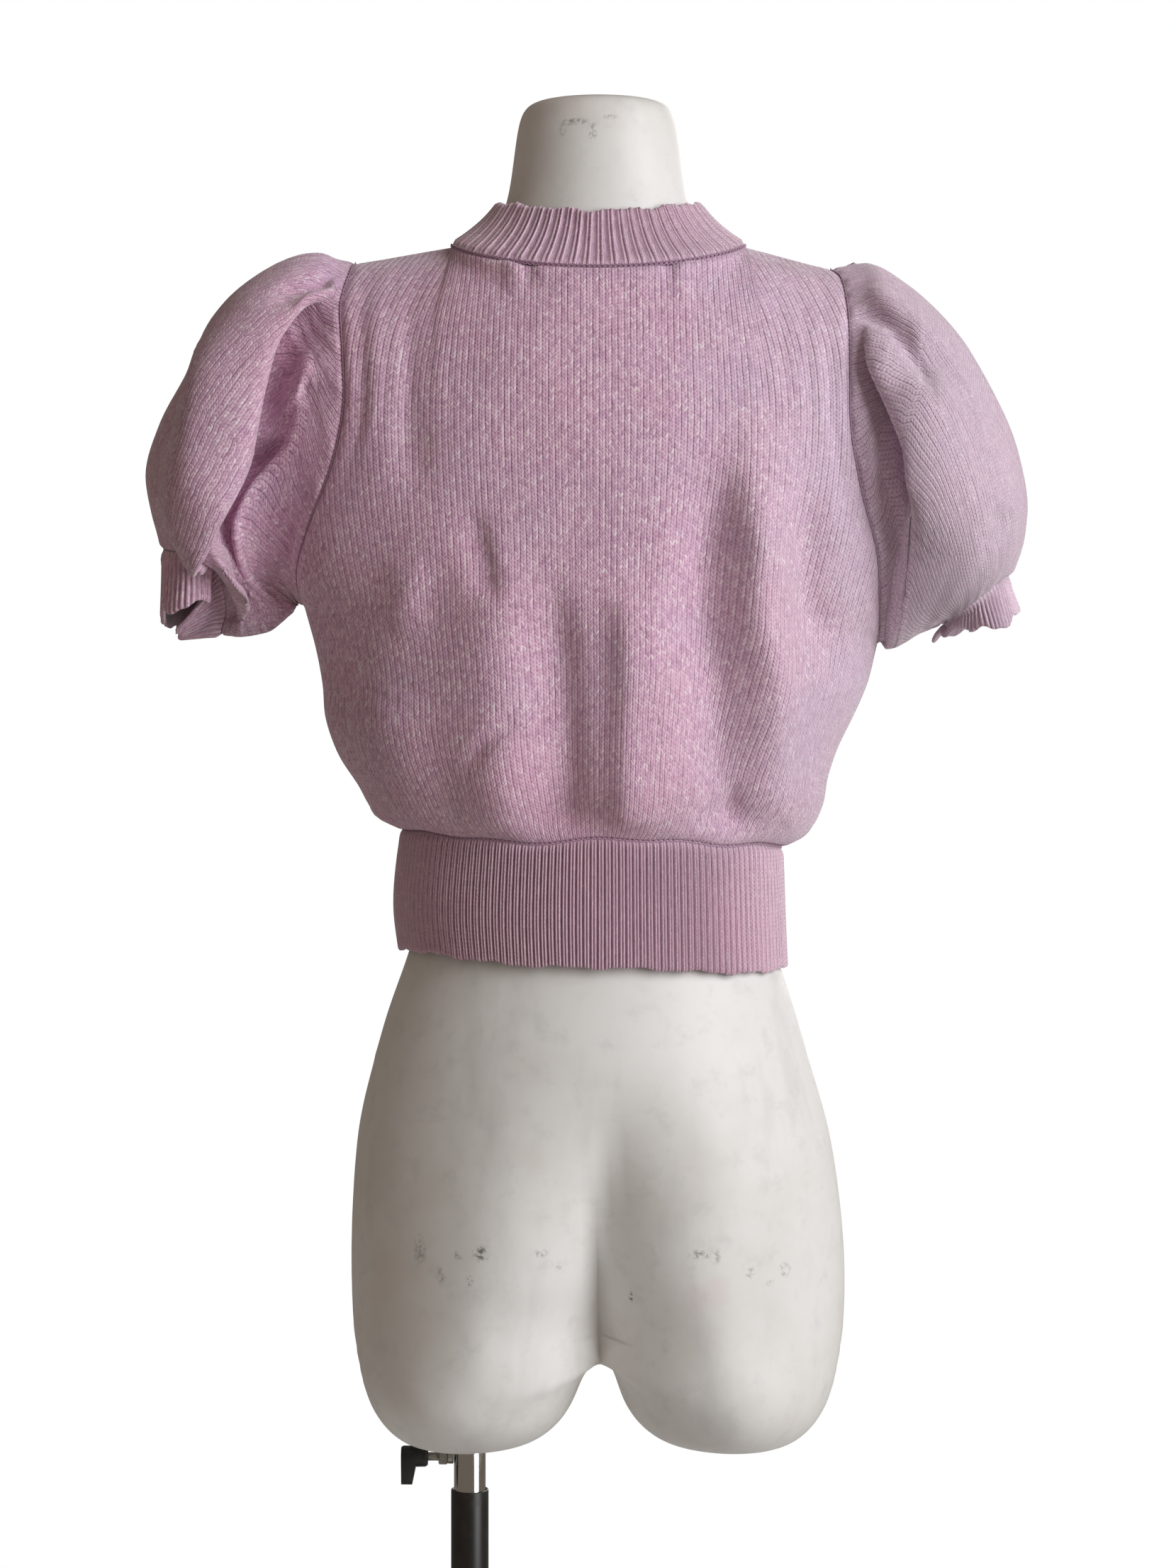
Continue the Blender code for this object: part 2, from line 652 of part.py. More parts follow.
def ribbed(name, grid, first_out, seam, material):
    """A band of ribs, two columns to a rib: every second outer column is raised over a plain inside.

    grid holds the band's base points, whose row at the seam is given with its own directions."""
    out = normals(grid, True)
    out[seam] = first_out
    inner = (grid - out * WALL)[:, ::2]
    raised = np.where(np.arange(grid.shape[1]) % 2 == 0, RIB_HEIGHT, 0)
    return wall_solid(name, grid + out * raised[None, :, None], inner, True, material)


def hem_band(ring, ring_out, material):
    count = 2 * HEM_RIBS
    at = evenly(ring, count)
    top, _ = seam_ring(ring, ring_out, -SEAM_GAP)
    top = between(top, at)
    turn = at / len(ring) * 2 * math.pi
    across = -np.cos(turn)
    rows = []
    for up in HEM["up"][:-1]:
        x = np.where(across < 0, read(HEM, "left", up), read(HEM, "right", up)) * across
        y = np.where(np.sin(turn) > 0, -read(HEM, "back", up), read(HEM, "front", up)) * np.abs(np.sin(turn))
        bottom = HEM_BOTTOM_Z - HEM_TILT * x
        rows.append(np.stack([x, y, bottom + up * (top[:, 2] - bottom)], -1))
    rows.append(top)
    return ribbed("hem_band", np.array(rows), unit(between(ring_out, at)), -1, material)


def neckband(ring, ring_out, material):
    count = 2 * NECK_RIBS
    at = evenly(ring, count)
    bottom, _ = seam_ring(ring, ring_out, RIB_GAP)
    bottom = between(bottom, at)
    turn = at / len(ring) * 2 * math.pi
    back, front = np.clip(np.sin(turn), 0, 1), np.clip(-np.sin(turn), 0, 1)
    top = np.stack([
        -NECK_TOP_OUT * np.cos(turn),
        NECK_TOP_Y - NECK_TOP_BACK * back + NECK_TOP_FRONT * front,
        NECK_TOP_Z - NECK_TOP_DIP_BACK * back**2 - NECK_TOP_DIP_FRONT * (1 - np.cos(front * math.pi / 2)),
    ], -1)
    middle = np.array([0, NECK_TOP_Y, 0])
    rows = []
    for up in (0, 0.5, 1):
        row = bottom + (top - bottom) * up
        inwards = unit((middle - row) * [1, 1, 0])
        rows.append(row + inwards * NECK_BULGE * math.sin(math.pi * up))
    return ribbed("neckband", np.array(rows), unit(between(ring_out, at)), 0, material)


def cuff(side, ring, ring_out, material):
    at = np.arange(2 * CUFF_RIBS) * len(ring) / (2 * CUFF_RIBS)
    top, _ = seam_ring(ring, ring_out, RIB_GAP)
    lifted = top + unit(top - ring) * SEAM_LIFT
    top, lifted = between(top, at), between(lifted, at)
    angles = at / len(ring) * 360
    if side == "left":
        angles = 360 - angles
    edge = turned_table(CUFF_EDGE[side], side, angles)
    rows = np.array([top, lifted + (edge - top) * CUFF_TURN, edge])
    return ribbed("cuff_" + side, rows, unit(between(ring_out, at)), 0, material)


def form_ring(height, left, right, back, front, side_y=0, pinch=1):
    """One ring of the form's cage, from its right side round its front. Above a pinch of 1 it is
    pointed at its sides, as a section through shoulders is."""
    turn = np.arange(RING_POINTS) * 2 * math.pi / RING_POINTS
    middle, half = (left + right) / 2, (right - left) / 2 * CAGE_SWELL
    along, deep = np.sign(np.cos(turn)) * np.abs(np.cos(turn)) ** pinch, np.abs(np.sin(turn)) ** pinch
    y = side_y + np.where(np.sin(turn) > 0, front - side_y, -back - side_y) * deep * CAGE_SWELL
    return np.stack([middle + half * along, y, np.full(RING_POINTS, float(height))], -1)


def dress_form(material):
    """The limbless form: a cage of rings that parts into two leg stumps, then subdivided once."""
    bm = bmesh.new()

    def loop(points):
        return [bm.verts.new(p * 0.001) for p in points]

    def join(upper, lower):
        for i in range(len(upper)):
            j = (i + 1) % len(upper)
            bm.faces.new([upper[i], lower[i], lower[j], upper[j]])

    def cap(ring, height, inset, up):
        """Closes a ring with two smaller ones and a face."""
        first = [np.array(v.co) / 0.001 for v in ring]
        centre = np.mean(first, 0)
        for share in (inset, inset / 2):
            new = loop([(p - centre) * [share, share, 0] + [*centre[:2], height] for p in first])
            if up:
                join(new, ring)
            else:
                join(ring, new)
            ring = new
        bm.faces.new(ring if up else ring[::-1])

    rings = [
        loop(form_ring(height, shift - half, shift + half, back, front, side_y, pinch))
        for height, shift, half, side_y, back, front, pinch in zip(*TORSO.values())
    ]
    for upper, lower in zip(rings, rings[1:]):
        join(upper, lower)
    cap(rings[0], NECK_TOP, NECK_INSET, True)

    # The split: each stump takes half of the ring and shares three points under the body
    half_turn = RING_POINTS // 2
    quarter = half_turn // 2
    first = form_ring(STUMP["height"][0], -STUMP["outer"][0], STUMP["outer"][0],
                      STUMP["back"][0], STUMP["front"][0])
    split = loop(first)
    join(rings[-1], split)
    front_y, back_y = first[quarter][1], first[quarter + half_turn][1]
    under = loop([
        np.array([CROTCH_X, y * CROTCH_SPREAD, CROTCH_Z + lift])
        for y, lift in zip((front_y, 0, back_y), CROTCH_LIFTS)
    ])
    order = [(k + quarter) % RING_POINTS for k in range(half_turn + 1)]
    left_loop = [split[k] for k in order] + under[::-1]
    right_loop = [split[(k + half_turn) % RING_POINTS] for k in order] + under
    for hand, ring in ((-1, left_loop), (1, right_loop)):
        for height, inner, outer, back, front in list(zip(*STUMP.values()))[1:]:
            new = loop(stump_ring(hand, height, inner, outer, back, front))
            join(ring, new)
            ring = new
        cap(ring, STUMP_Z, STUMP_INSET, False)

    mesh = bpy.data.meshes.new("dress_form")
    bmesh.ops.recalc_face_normals(bm, faces=bm.faces)
    bm.to_mesh(mesh)
    bm.free()
    mesh.shade_smooth()
    mesh.materials.append(material)
    made = bpy.data.objects.new("dress_form", mesh)
    bpy.context.scene.collection.objects.link(made)
    smoothing = made.modifiers.new("Subdivision", "SUBSURF")
    smoothing.levels = smoothing.render_levels = 1
    return made


def stump_ring(hand, height, inner, outer, back, front):
    """A stump's ring, which starts at the front, goes round the outer side and ends at the inner."""
    outside = RING_POINTS // 2
    turns = [math.pi / 2 + math.pi * k / outside for k in range(outside + 1)]
    turns += [math.pi * (1.5 + k / STUMP_INSIDE) for k in range(1, STUMP_INSIDE)]
    middle, half = (inner + outer) / 2, (outer - inner) / 2 * CAGE_SWELL
    points = []
    for turn in turns if hand < 0 else [t + math.pi for t in turns]:
        depth = front if math.sin(turn) > 0 else back
        points.append(np.array([hand * middle + half * math.cos(turn),
                                depth * math.sin(turn) * CAGE_SWELL * STUMP_DEEP, height]))
    return points


def turned(name, profile, at, material, sides=STAND_SIDES, axis="z"):
    """A solid turned round an axis from (radius, height) corners, closed at both ends."""
    rings = np.array(profile, float)
    turn = np.arange(sides) * 2 * math.pi / sides
    points = np.stack([
        rings[:, :1] * np.cos(turn), rings[:, :1] * np.sin(turn), np.repeat(rings[:, 1:], sides, 1)
    ], -1)
    if axis == "x":
        points = points[..., [2, 0, 1]]
    count = len(rings)
    faces = []
    hollow = profile[0] == profile[-1]
    for r in range(count - 1):
        here, there = r * sides, (r + 1) % (count - 1 if hollow else count) * sides
        for c in range(sides):
            d = (c + 1) % sides
            faces.append([here + c, here + d, there + d, there + c])
    if hollow:
        points = points[:-1]
    else:
        faces.append(list(range(sides))[::-1])
        faces.append([(count - 1) * sides + c for c in range(sides)])
    return mesh_object(name, points.reshape(-1, 3) + np.array(at, float), faces, material)


def tube(name, radius, wall, bottom, top, material):
    inner = radius - wall
    profile = [(radius, bottom), (radius, top), (inner, top), (inner, bottom), (radius, bottom)]
    return turned(name, profile, (POLE_X, POLE_Y, 0), material)


def stand(chrome, black, steel):
    """The base plate, the two telescoping tubes, and the clamp that bears on the inner one."""
    bevel = PLATE_CHAMFER
    turned("stand_base", [(PLATE_R - bevel, 0), (PLATE_R, bevel), (PLATE_R, PLATE_HEIGHT - bevel),
                          (PLATE_R - bevel, PLATE_HEIGHT)], (0, 0, 0), black, PLATE_SIDES)
    low = PLATE_HEIGHT + CLEAR
    bore = TUBE_R + CLEAR
    turned("stand_flange", [(FLANGE_R, low), (FLANGE_R, low + FLANGE_RIM),
                            (bore + FLANGE_NECK, low + FLANGE_HEIGHT), (bore, low + FLANGE_HEIGHT),
                            (bore, low), (FLANGE_R, low)], (POLE_X, POLE_Y, 0), black)
    tube("pole_outer", TUBE_R, TUBE_WALL, low, TUBE_TOP_Z, black)
    tube("pole_inner", INNER_R, INNER_WALL, INNER_BOTTOM_Z, STUMP_Z - CLEAR, chrome)

    tip = -INNER_R - CLEAR
    nut_start = tip - TIP_LENGTH
    nut_end = nut_start - NUT_LENGTH
    shank_end = nut_end - BOLT_SHANK
    turned("clamp_bolt", [(BOLT_R, shank_end), (BOLT_R, nut_end), (NUT_R, nut_end), (NUT_R, nut_start),
                          (TIP_R, nut_start), (TIP_R, tip)],
           (POLE_X, POLE_Y, BOLT_Z), steel, BOLT_SIDES, "x")
    knob(shank_end - CLEAR, black)


def knob(inner_end, material):
    """The hand knob: a hub with one lever that hangs from its outer end."""
    start = inner_end - HUB_LENGTH
    over = [math.pi * k / HUB_STEPS for k in range(HUB_STEPS + 1)]
    waist, tip = HUB_R + LEVER_WAIST, LEVER_DROP - LEVER_ROUND
    narrow = LEVER_HALF - LEVER_ROUND
    outline = [(HUB_R * math.cos(turn), HUB_R * math.sin(turn)) for turn in over]
    outline += [(-LEVER_HALF - LEVER_FLARE, -waist), (-LEVER_HALF, -tip), (-narrow, -LEVER_DROP),
                (narrow, -LEVER_DROP), (LEVER_HALF, -tip), (LEVER_HALF + LEVER_FLARE, -waist)]
    count = len(outline)
    under = count - HUB_STEPS
    turns = over + [math.pi * (1 + k / under) for k in range(1, under)]
    points = []

    # The lever's three sections, then the hub's three
    lever_end = start + LEVER_THICK
    for x, size, leans in ((start, LEVER_FACE, 0), (start + HUB_CHAMFER, 1, 0), (lever_end, 1, 1)):
        for y, z in outline:
            hang = leans * LEVER_LEAN * max(0, -z) / LEVER_DROP
            points.append((x - hang, y * size, z * size if z > 0 else z))
    sections = (lever_end, HUB_SHOULDER), (inner_end - HUB_CHAMFER, HUB_NECK), (inner_end, HUB_END)
    for x, size in sections:
        points += [(x, HUB_R * size * math.cos(turn), HUB_R * size * math.sin(turn)) for turn in turns]
    faces = [list(range(count))]
    for ring in range(5):
        here, there = ring * count, (ring + 1) * count
        for k in range(count):
            j = (k + 1) % count
            faces.append([here + j, here + k, there + k, there + j])
    faces.append(list(range(5 * count, 6 * count))[::-1])
    made = mesh_object("clamp_knob", np.array(points) + [POLE_X, POLE_Y, BOLT_Z], faces, material)
    bm = bmesh.new()
    bm.from_mesh(made.data)
    bmesh.ops.recalc_face_normals(bm, faces=bm.faces)
    bm.to_mesh(made.data)
    bm.free()


def finish(name, colour, roughness, metallic=0.0):
    """A plain material."""
    made = bpy.data.materials.new(name)
    made.use_nodes = True
    shader = made.node_tree.nodes["Principled BSDF"]
    shader.inputs["Base Color"].default_value = (*colour, 1)
    shader.inputs["Roughness"].default_value = roughness
    shader.inputs["Metallic"].default_value = metallic
    return made


def main():
    for old in list(bpy.data.objects):
        bpy.data.objects.remove(old)
    knit = finish("lilac_pink_knit", (0.46, 0.29, 0.40), 0.85)
    rib = finish("lilac_pink_rib", (0.44, 0.27, 0.37), 0.85)
    shell = finish("warm_white_shell", (0.62, 0.61, 0.58), 0.45)
    chrome = finish("chrome", (0.75, 0.75, 0.74), 0.12, 1.0)
    steel = finish("zinc_steel", (0.45, 0.44, 0.42), 0.4, 1.0)
    black = finish("black_paint", (0.012, 0.012, 0.011), 0.35)

    back, back_out = panel(-1, BACK_FOLDS)
    front, front_out = panel(1, FRONT_FOLDS)
    share_seams(back_out, front_out)

    # Rings at the seams, before the panels are drawn back from theirs
    hem_ring = np.concatenate([back[0, :-1], front[0, :-1]])
    hem_out = np.concatenate([back_out[0, :-1], front_out[0, :-1]])
    shoulder = HALF_COLUMNS - NECK_COLUMNS
    neckline = slice(shoulder, -shoulder - 1)
    neck_ring = np.concatenate([back[-1, neckline], front[-1, neckline]])
    neck_out = np.concatenate([back_out[-1, neckline], front_out[-1, neckline]])
    sleeves = {}
    for side in ("left", "right"):
        ring, ring_out = armhole_ring(side, back, front, back_out, front_out)
        sleeves[side] = sleeve(side, ring, ring_out)

    panel_solid("back_panel", back, back_out, knit)
    panel_solid("front_panel", front, front_out, knit)
    hem_band(hem_ring, hem_out, rib)
    neckband(neck_ring, neck_out, rib)
    for side, (outer, inner, out) in sleeves.items():
        wall_solid("sleeve_" + side, outer, inner, True, knit)
        cuff(side, outer[-1], out[-1], rib)
    dress_form(shell)
    stand(chrome, black, steel)


main()
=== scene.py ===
# %% [markdown]
# # A knit top on a dress form
#
# The object is a cropped knit top with gathered puff sleeves, seen from behind on a limbless dress
# form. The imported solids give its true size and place. This lesson makes the finish: fine cloth with
# its wales and folds, the yarn, the smudged shell of the form and the parts of the stand.

# %% Load the frame
import json
import math

import bmesh
import bpy
import numpy as np
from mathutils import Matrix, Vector

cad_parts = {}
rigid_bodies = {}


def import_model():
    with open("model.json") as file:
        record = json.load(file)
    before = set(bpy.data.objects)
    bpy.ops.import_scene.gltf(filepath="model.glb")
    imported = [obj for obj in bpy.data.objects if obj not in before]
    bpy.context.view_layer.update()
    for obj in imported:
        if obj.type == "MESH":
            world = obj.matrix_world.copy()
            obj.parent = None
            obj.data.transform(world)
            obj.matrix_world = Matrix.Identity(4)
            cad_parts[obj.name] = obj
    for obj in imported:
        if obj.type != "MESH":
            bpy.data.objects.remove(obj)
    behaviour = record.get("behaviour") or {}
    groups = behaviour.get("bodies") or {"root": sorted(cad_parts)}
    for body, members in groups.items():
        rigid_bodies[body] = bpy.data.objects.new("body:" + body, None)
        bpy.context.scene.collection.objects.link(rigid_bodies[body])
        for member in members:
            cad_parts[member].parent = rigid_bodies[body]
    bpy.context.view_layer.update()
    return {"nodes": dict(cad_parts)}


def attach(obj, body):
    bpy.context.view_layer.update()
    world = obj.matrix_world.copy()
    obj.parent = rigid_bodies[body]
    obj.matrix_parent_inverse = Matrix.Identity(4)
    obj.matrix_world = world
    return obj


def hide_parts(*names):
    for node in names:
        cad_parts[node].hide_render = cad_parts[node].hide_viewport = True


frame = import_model()
BODY_NAME = "root"
print("solids:", sorted(frame["nodes"]))

# %% [markdown]
# ## The camera
#
# The picture was taken from behind, a little over two metres away, with the lens level with the
# middle of the garment. A camera that is tilted would make the form lean, so this one looks straight
# ahead and its shift moves the frame down instead.

# %% Camera
CAMERA_AT = (-0.007, -2.3, 0.823)
CAMERA_LENS, CAMERA_SHIFT = 78, -0.0705


def linked(name, data):
    """A new object with its data, put in the scene."""
    made = bpy.data.objects.new(name, data)
    bpy.context.scene.collection.objects.link(made)
    return made


camera = linked("camera", bpy.data.cameras.new("camera"))
camera.location = CAMERA_AT
camera.rotation_euler = (math.pi / 2, 0, 0)
camera.data.lens, camera.data.shift_y = CAMERA_LENS, CAMERA_SHIFT
bpy.context.scene.camera = camera
print("camera at", CAMERA_AT)

# %% [markdown]
# ## Tables and curves
#
# Cloth on a form is a smooth surface through a few sections. Each section is a row in a short table,
# and a smooth curve reads the table anywhere between its rows, so the same few numbers can make a
# coarse solid or the fine cloth made here. All lengths are in millimetres until a mesh is made.

# %% Helpers for tables
MM = 0.001


def table(columns, *rows):
    """A short table: its first column says where each row is, the others what is there."""
    return {name: np.array(down, float) for name, down in zip(columns.split(), zip(*rows))}


def ease(value, low=0.0, high=1.0):
    """0 below low and 1 above high, with a smooth ramp between."""
    share = np.clip((np.asarray(value, float) - low) / (high - low), 0, 1)
    return share * share * (3 - 2 * share)


def curve(places, values, at):
    """The value at a place, on a smooth curve through the given ones."""
    slopes = np.gradient(values, places)
    i = np.clip(np.searchsorted(places, at, side="right") - 1, 0, len(places) - 2)
    width = places[i + 1] - places[i]
    t = (at - places[i]) / width
    rest = 1 - t
    return (rest * rest * ((1 + 2 * t) * values[i] + t * width * slopes[i])
            + t * t * ((3 - 2 * t) * values[i + 1] - rest * width * slopes[i + 1]))


def read(rows, column, at):
    """A table's column between its rows."""
    return curve(next(iter(rows.values())), rows[column], at)


def unit(vectors):
    """The same directions, one long."""
    return vectors / np.maximum(np.linalg.norm(vectors, axis=-1, keepdims=True), 1e-9)


def travelled(points):
    """How far along a line of points each one is."""
    return np.concatenate([[0], np.cumsum(np.linalg.norm(np.diff(points, axis=0), axis=1))])


def hand_of(side):
    """-1 to the left and 1 to the right, as seen from behind."""
    return -1 if side == "left" else 1


print("halfway up a smooth step:", float(ease(0.5)))

# %% [markdown]
# ## The garment's sections
#
# The top is four knitted shapes: a back, a front and two sleeves, with ribbing at every edge. The
# body is a wide ellipse that blouses over the hem band, so one table gives its width and depth at a
# few heights. A sculpted mesh could hold the same shape, but its thousands of points would say
# nothing about the garment, and these rows can be read and corrected.

# %% Sizes of the body
WALL = 2.0  # the cloth's thickness
SEAM_GAP, RIB_GAP = 0.3, 0.6  # between sewn pieces, and between a sewn piece and its ribbing
SEAM_Z = dict(left=719, middle=714, right=705)  # the hem's seam, which sags to the right
UNDERARM_Z = dict(left=868, middle=855, right=842)

BODY = table(
    "rise left right back front",
    (0.00, 133, 124, 93, 88),
    (0.05, 149, 138, 96, 91),
    (0.11, 155, 145, 100, 95),
    (0.20, 162, 151, 107, 101),
    (0.35, 176, 155, 111, 107),
    (0.50, 184, 162, 112, 111),
    (0.65, 186, 172, 112, 116),
    (0.80, 190, 181, 112, 119),
    (1.00, 198, 188, 112, 121),
)
HEM = table(
    "up left right back front",
    (0.00, 134, 127, 92.5, 87.5),
    (0.30, 137, 126, 93, 87.5),
    (1.00, 133, 124, 93, 88),
)
print("body:", BODY["left"].max() + BODY["right"].max(), "mm wide")

# %% [markdown]
# ## Armholes and middles
#
# An armhole is a slanted loop from the shoulder's tip to the underarm and back. It is read by its
# angle, from 0 at the shoulder to 180 at the underarm. The middle of the back and of the front give
# each row's depth, and how far round the body the row wraps before it meets the armhole.

# %% The armholes and the panels' middles
SHOULDER_Y = -6  # the shoulder's tip lies a little behind the underarm
ARM_FRONT_SHARE = 0.92  # how much shallower the armhole is in front
ARMHOLE = dict(
    left=table(
        "angle out depth height",
        (0, 164, 0, 1100),
        (20, 166, 20, 1092),
        (40, 171, 41, 1068),
        (60, 169, 57, 1036),
        (80, 168, 65, 999),
        (100, 176, 65, 960),
        (120, 191, 57, 923),
        (140, 201, 41, 894),
        (160, 201, 21, 875),
        (180, 198, 0, 868),
    ),
    right=table(
        "angle out depth height",
        (0, 157, 0, 1096),
        (20, 163, 20, 1087),
        (40, 166, 41, 1061),
        (60, 166, 57, 1027),
        (80, 166, 65, 986),
        (100, 173, 65, 944),
        (120, 184, 57, 903),
        (140, 187, 41, 871),
        (160, 188, 21, 850),
        (180, 188, 0, 842),
    ),
)
MIDDLE = dict(
    back=table(
        "share height depth wrap",
        (0.0, 855, 112, 90),
        (0.2, 903, 112, 80),
        (0.4, 953, 111, 66),
        (0.6, 1003, 108, 58),
        (0.8, 1050, 98, 56),
        (1.0, 1089, 80, 60),
    ),
    front=table(
        "share height depth wrap",
        (0.0, 855, 121, 90),
        (0.2, 892, 124, 82),
        (0.4, 930, 124, 72),
        (0.6, 962, 118, 64),
        (0.8, 990, 106, 60),
        (1.0, 1015, 88, 60),
    ),
)
print("armholes:", ARMHOLE["left"]["height"][0] - ARMHOLE["left"]["height"][-1], "mm high")

# %% [markdown]
# ## Sleeves and cuffs
#
# Each sleeve is a puff: it swells from its armhole and is gathered into a narrow cuff. A row gives
# the outer and the inner side of the tube and its depth behind and in front. The cuffs aren't round
# in the picture, because they hang loose and the left one is folded over, so both of their edges are
# drawn point by point.

# %% The sleeves and the cuffs
SLEEVE = dict(
    left=table(
        "along outer_x outer_z inner_x inner_z back front",
        (0.00, 164, 1100, 198, 868, 65, 60),
        (0.10, 187, 1105, 205, 865, 75, 70),
        (0.25, 222, 1094, 214, 858, 84, 78),
        (0.40, 250, 1069, 222, 852, 88, 82),
        (0.55, 271, 1030, 230, 850, 88, 83),
        (0.70, 293, 990, 238, 849, 84, 80),
        (0.82, 303, 958, 245, 849, 75, 73),
        (0.92, 299, 930, 251, 850, 63, 62),
        (1.00, 294, 908, 255, 850, 50, 47),
    ),
    right=table(
        "along outer_x outer_z inner_x inner_z back front",
        (0.00, 157, 1096, 188, 842, 65, 60),
        (0.08, 178, 1101, 192, 840, 74, 69),
        (0.20, 206, 1088, 198, 840, 83, 77),
        (0.40, 243, 1051, 207, 844, 89, 83),
        (0.58, 268, 1009, 215, 849, 89, 84),
        (0.74, 284, 968, 222, 852, 83, 80),
        (0.87, 290, 930, 228, 855, 71, 69),
        (0.95, 286, 904, 231, 856, 60, 58),
        (1.00, 279, 889, 232, 856, 50, 47),
    ),
)
CUFF_SEAM = dict(
    left=table(
        "angle out depth height",
        (0, 294, 0, 908),
        (45, 286, 36, 906),
        (85, 270, 49, 904),
        (110, 260, 39, 896),
        (130, 258, 25, 881),
        (150, 256, 13, 866),
        (180, 255, -2, 850),
        (225, 258, -32, 858),
        (270, 273, -46, 877),
        (315, 288, -34, 899),
        (360, 294, 0, 908),
    ),
    right=table(
        "angle out depth height",
        (0, 279, 0, 889),
        (45, 271, 35, 886),
        (90, 252, 47, 872),
        (135, 238, 33, 861),
        (180, 232, 0, 856),
        (225, 238, -32, 861),
        (270, 254, -45, 873),
        (315, 271, -34, 885),
        (360, 279, 0, 889),
    ),
)
CUFF_EDGE = dict(
    left=table(
        "angle out depth height",
        (0, 295, 2, 858),
        (45, 289, 38, 864),
        (85, 270, 50, 867),
        (110, 259, 39, 873),
        (130, 266, 25, 868),
        (150, 277, 13, 859),
        (180, 286, -4, 848),
        (225, 285, -34, 848),
        (270, 290, -46, 852),
        (315, 296, -32, 856),
        (360, 295, 2, 858),
    ),
    right=table(
        "angle out depth height",
        (0, 285, 0, 867),
        (45, 276, 37, 859),
        (80, 262, 47, 852),
        (105, 250, 38, 853),
        (140, 239, 26, 852),
        (180, 230, 2, 850),
        (225, 231, -32, 847),
        (270, 246, -46, 851),
        (315, 272, -36, 859),
        (360, 285, 0, 867),
    ),
)

print("sleeves:", SLEEVE["left"]["outer_x"].max() + SLEEVE["right"]["outer_x"].max(), "mm across both")

# %% [markdown]
# ## Folds
#
# Knit cloth that is worn on a form hangs in soft ridges and creases. A cloth simulation makes folds
# of its own, but not those in the picture, so they are drawn. A fold is a line on the garment as
# seen from behind. A plain fold lifts or sinks the cloth along its line, with its own width to each
# side. A lap is a fold whose cloth rolls over its own line: the points also slide sideways, past
# each other, so the edge overhangs a dark pocket, which a height alone could never make.


# %% Kinds of fold
def fold(depth, left, right, start, end, *line):
    """A ridge or crease: its height, its widths, its strength at both ends, and its line."""
    return dict(depth=depth, left=left, right=right, start=start, end=end, line=np.array(line, float))


def lap(over, height, slide, width, start, end, *line):
    """A roll of cloth over its line. over is -1 where the left side lies on top, 1 for the right."""
    return dict(over=over, height=height, slide=slide, width=width, start=start, end=end,
                line=np.array(line, float))


# %% Folds of the back and the front
BACK_FOLDS = (
    fold(7, 30, 22, 0.1, 0.9, (-74, 928), (-64, 890), (-60, 860), (-64, 820), (-64, 780), (-63, 740),
         (-64, 716)),
    fold(-4, 11, 7, 0.1, 0.0, (-83, 932), (-73, 892), (-68, 866)),
    fold(-3, 6, 5, 0.1, 0.1, (-48, 800), (-67, 782), (-89, 759)),
    fold(-10, 26, 13, 0.0, 1.0, (-36, 896), (-29, 856), (-25, 820), (-22, 780), (-21, 740), (-24, 716)),
    fold(10, 13, 30, 0.0, 1.0, (16, 896), (19, 860), (20, 820), (19, 780), (18, 740), (17, 716)),
    fold(-14, 22, 18, 0.1, 0.8, (80, 968), (78, 940), (73, 900), (70, 860), (77, 820), (80, 780),
         (86, 740), (88, 716)),
    fold(-4, 4, 6, 0.1, 0.2, (95, 752), (92, 736), (84, 716)),
    fold(13, 15, 20, 0.1, 0.3, (99, 1006), (100, 940), (102, 900), (103, 860), (113, 820),
         (112, 780), (122, 736)),
    fold(-8, 12, 14, 0.1, 0.3, (138, 965), (136, 900), (139, 868), (158, 828)),
    fold(-3, 4, 8, 0.2, 0.1, (148, 1040), (154, 1000), (159, 950)),
    fold(4, 14, 12, 0.1, 0.1, (-120, 900), (-128, 845)),
    fold(6, 14, 12, 0.3, 0.2, (-148, 1078), (-149, 1022), (-145, 962)),
    fold(-3, 12, 12, 0.1, 0.1, (-118, 1060), (-124, 1000), (-118, 930)),
    fold(5, 18, 22, 0.1, 0.9, (-142, 822), (-136, 770), (-120, 722)),
    fold(-2.2, 6, 5, 0.8, 0.1, (-51, 1096), (-46, 1091), (-48, 1078)),
    fold(-2.2, 5, 6, 0.8, 0.1, (48, 1094), (46, 1088), (47, 1076)),
    fold(2, 7, 6, 0.6, 0.1, (-57, 1094), (-55, 1084), (-56, 1068)),
    fold(2, 6, 7, 0.6, 0.1, (56, 1092), (54, 1082), (56, 1064)),
)
FRONT_FOLDS = (
    fold(8, 22, 12, 0.0, 0.9, (-88, 905), (-94, 850), (-84, 780), (-72, 716)),
    fold(-7, 14, 18, 0.0, 0.9, (-52, 880), (-48, 800), (-38, 716)),
    fold(7, 14, 24, 0.0, 0.9, (10, 860), (4, 790), (8, 716)),
    fold(-6, 18, 12, 0.0, 0.9, (52, 885), (46, 810), (50, 716)),
    fold(9, 12, 24, 0.0, 0.9, (92, 910), (98, 845), (92, 780), (76, 716)),
    fold(-6, 10, 12, 0.1, 0.3, (140, 985), (134, 925), (148, 850)),
    fold(-6, 12, 10, 0.1, 0.3, (-146, 1000), (-138, 935), (-152, 860)),
)
print("folds:", len(BACK_FOLDS), "on the back and", len(FRONT_FOLDS), "on the front")

# %% [markdown]
# ## Folds of the sleeves
#
# The left sleeve rolls forward over a deep valley that runs from the shoulder to the cuff. The right
# one has a shallower lap beside its armhole, under a small hood of gathers. Both are laps with a
# valley under them, and smaller creases break up what would otherwise look like a balloon.

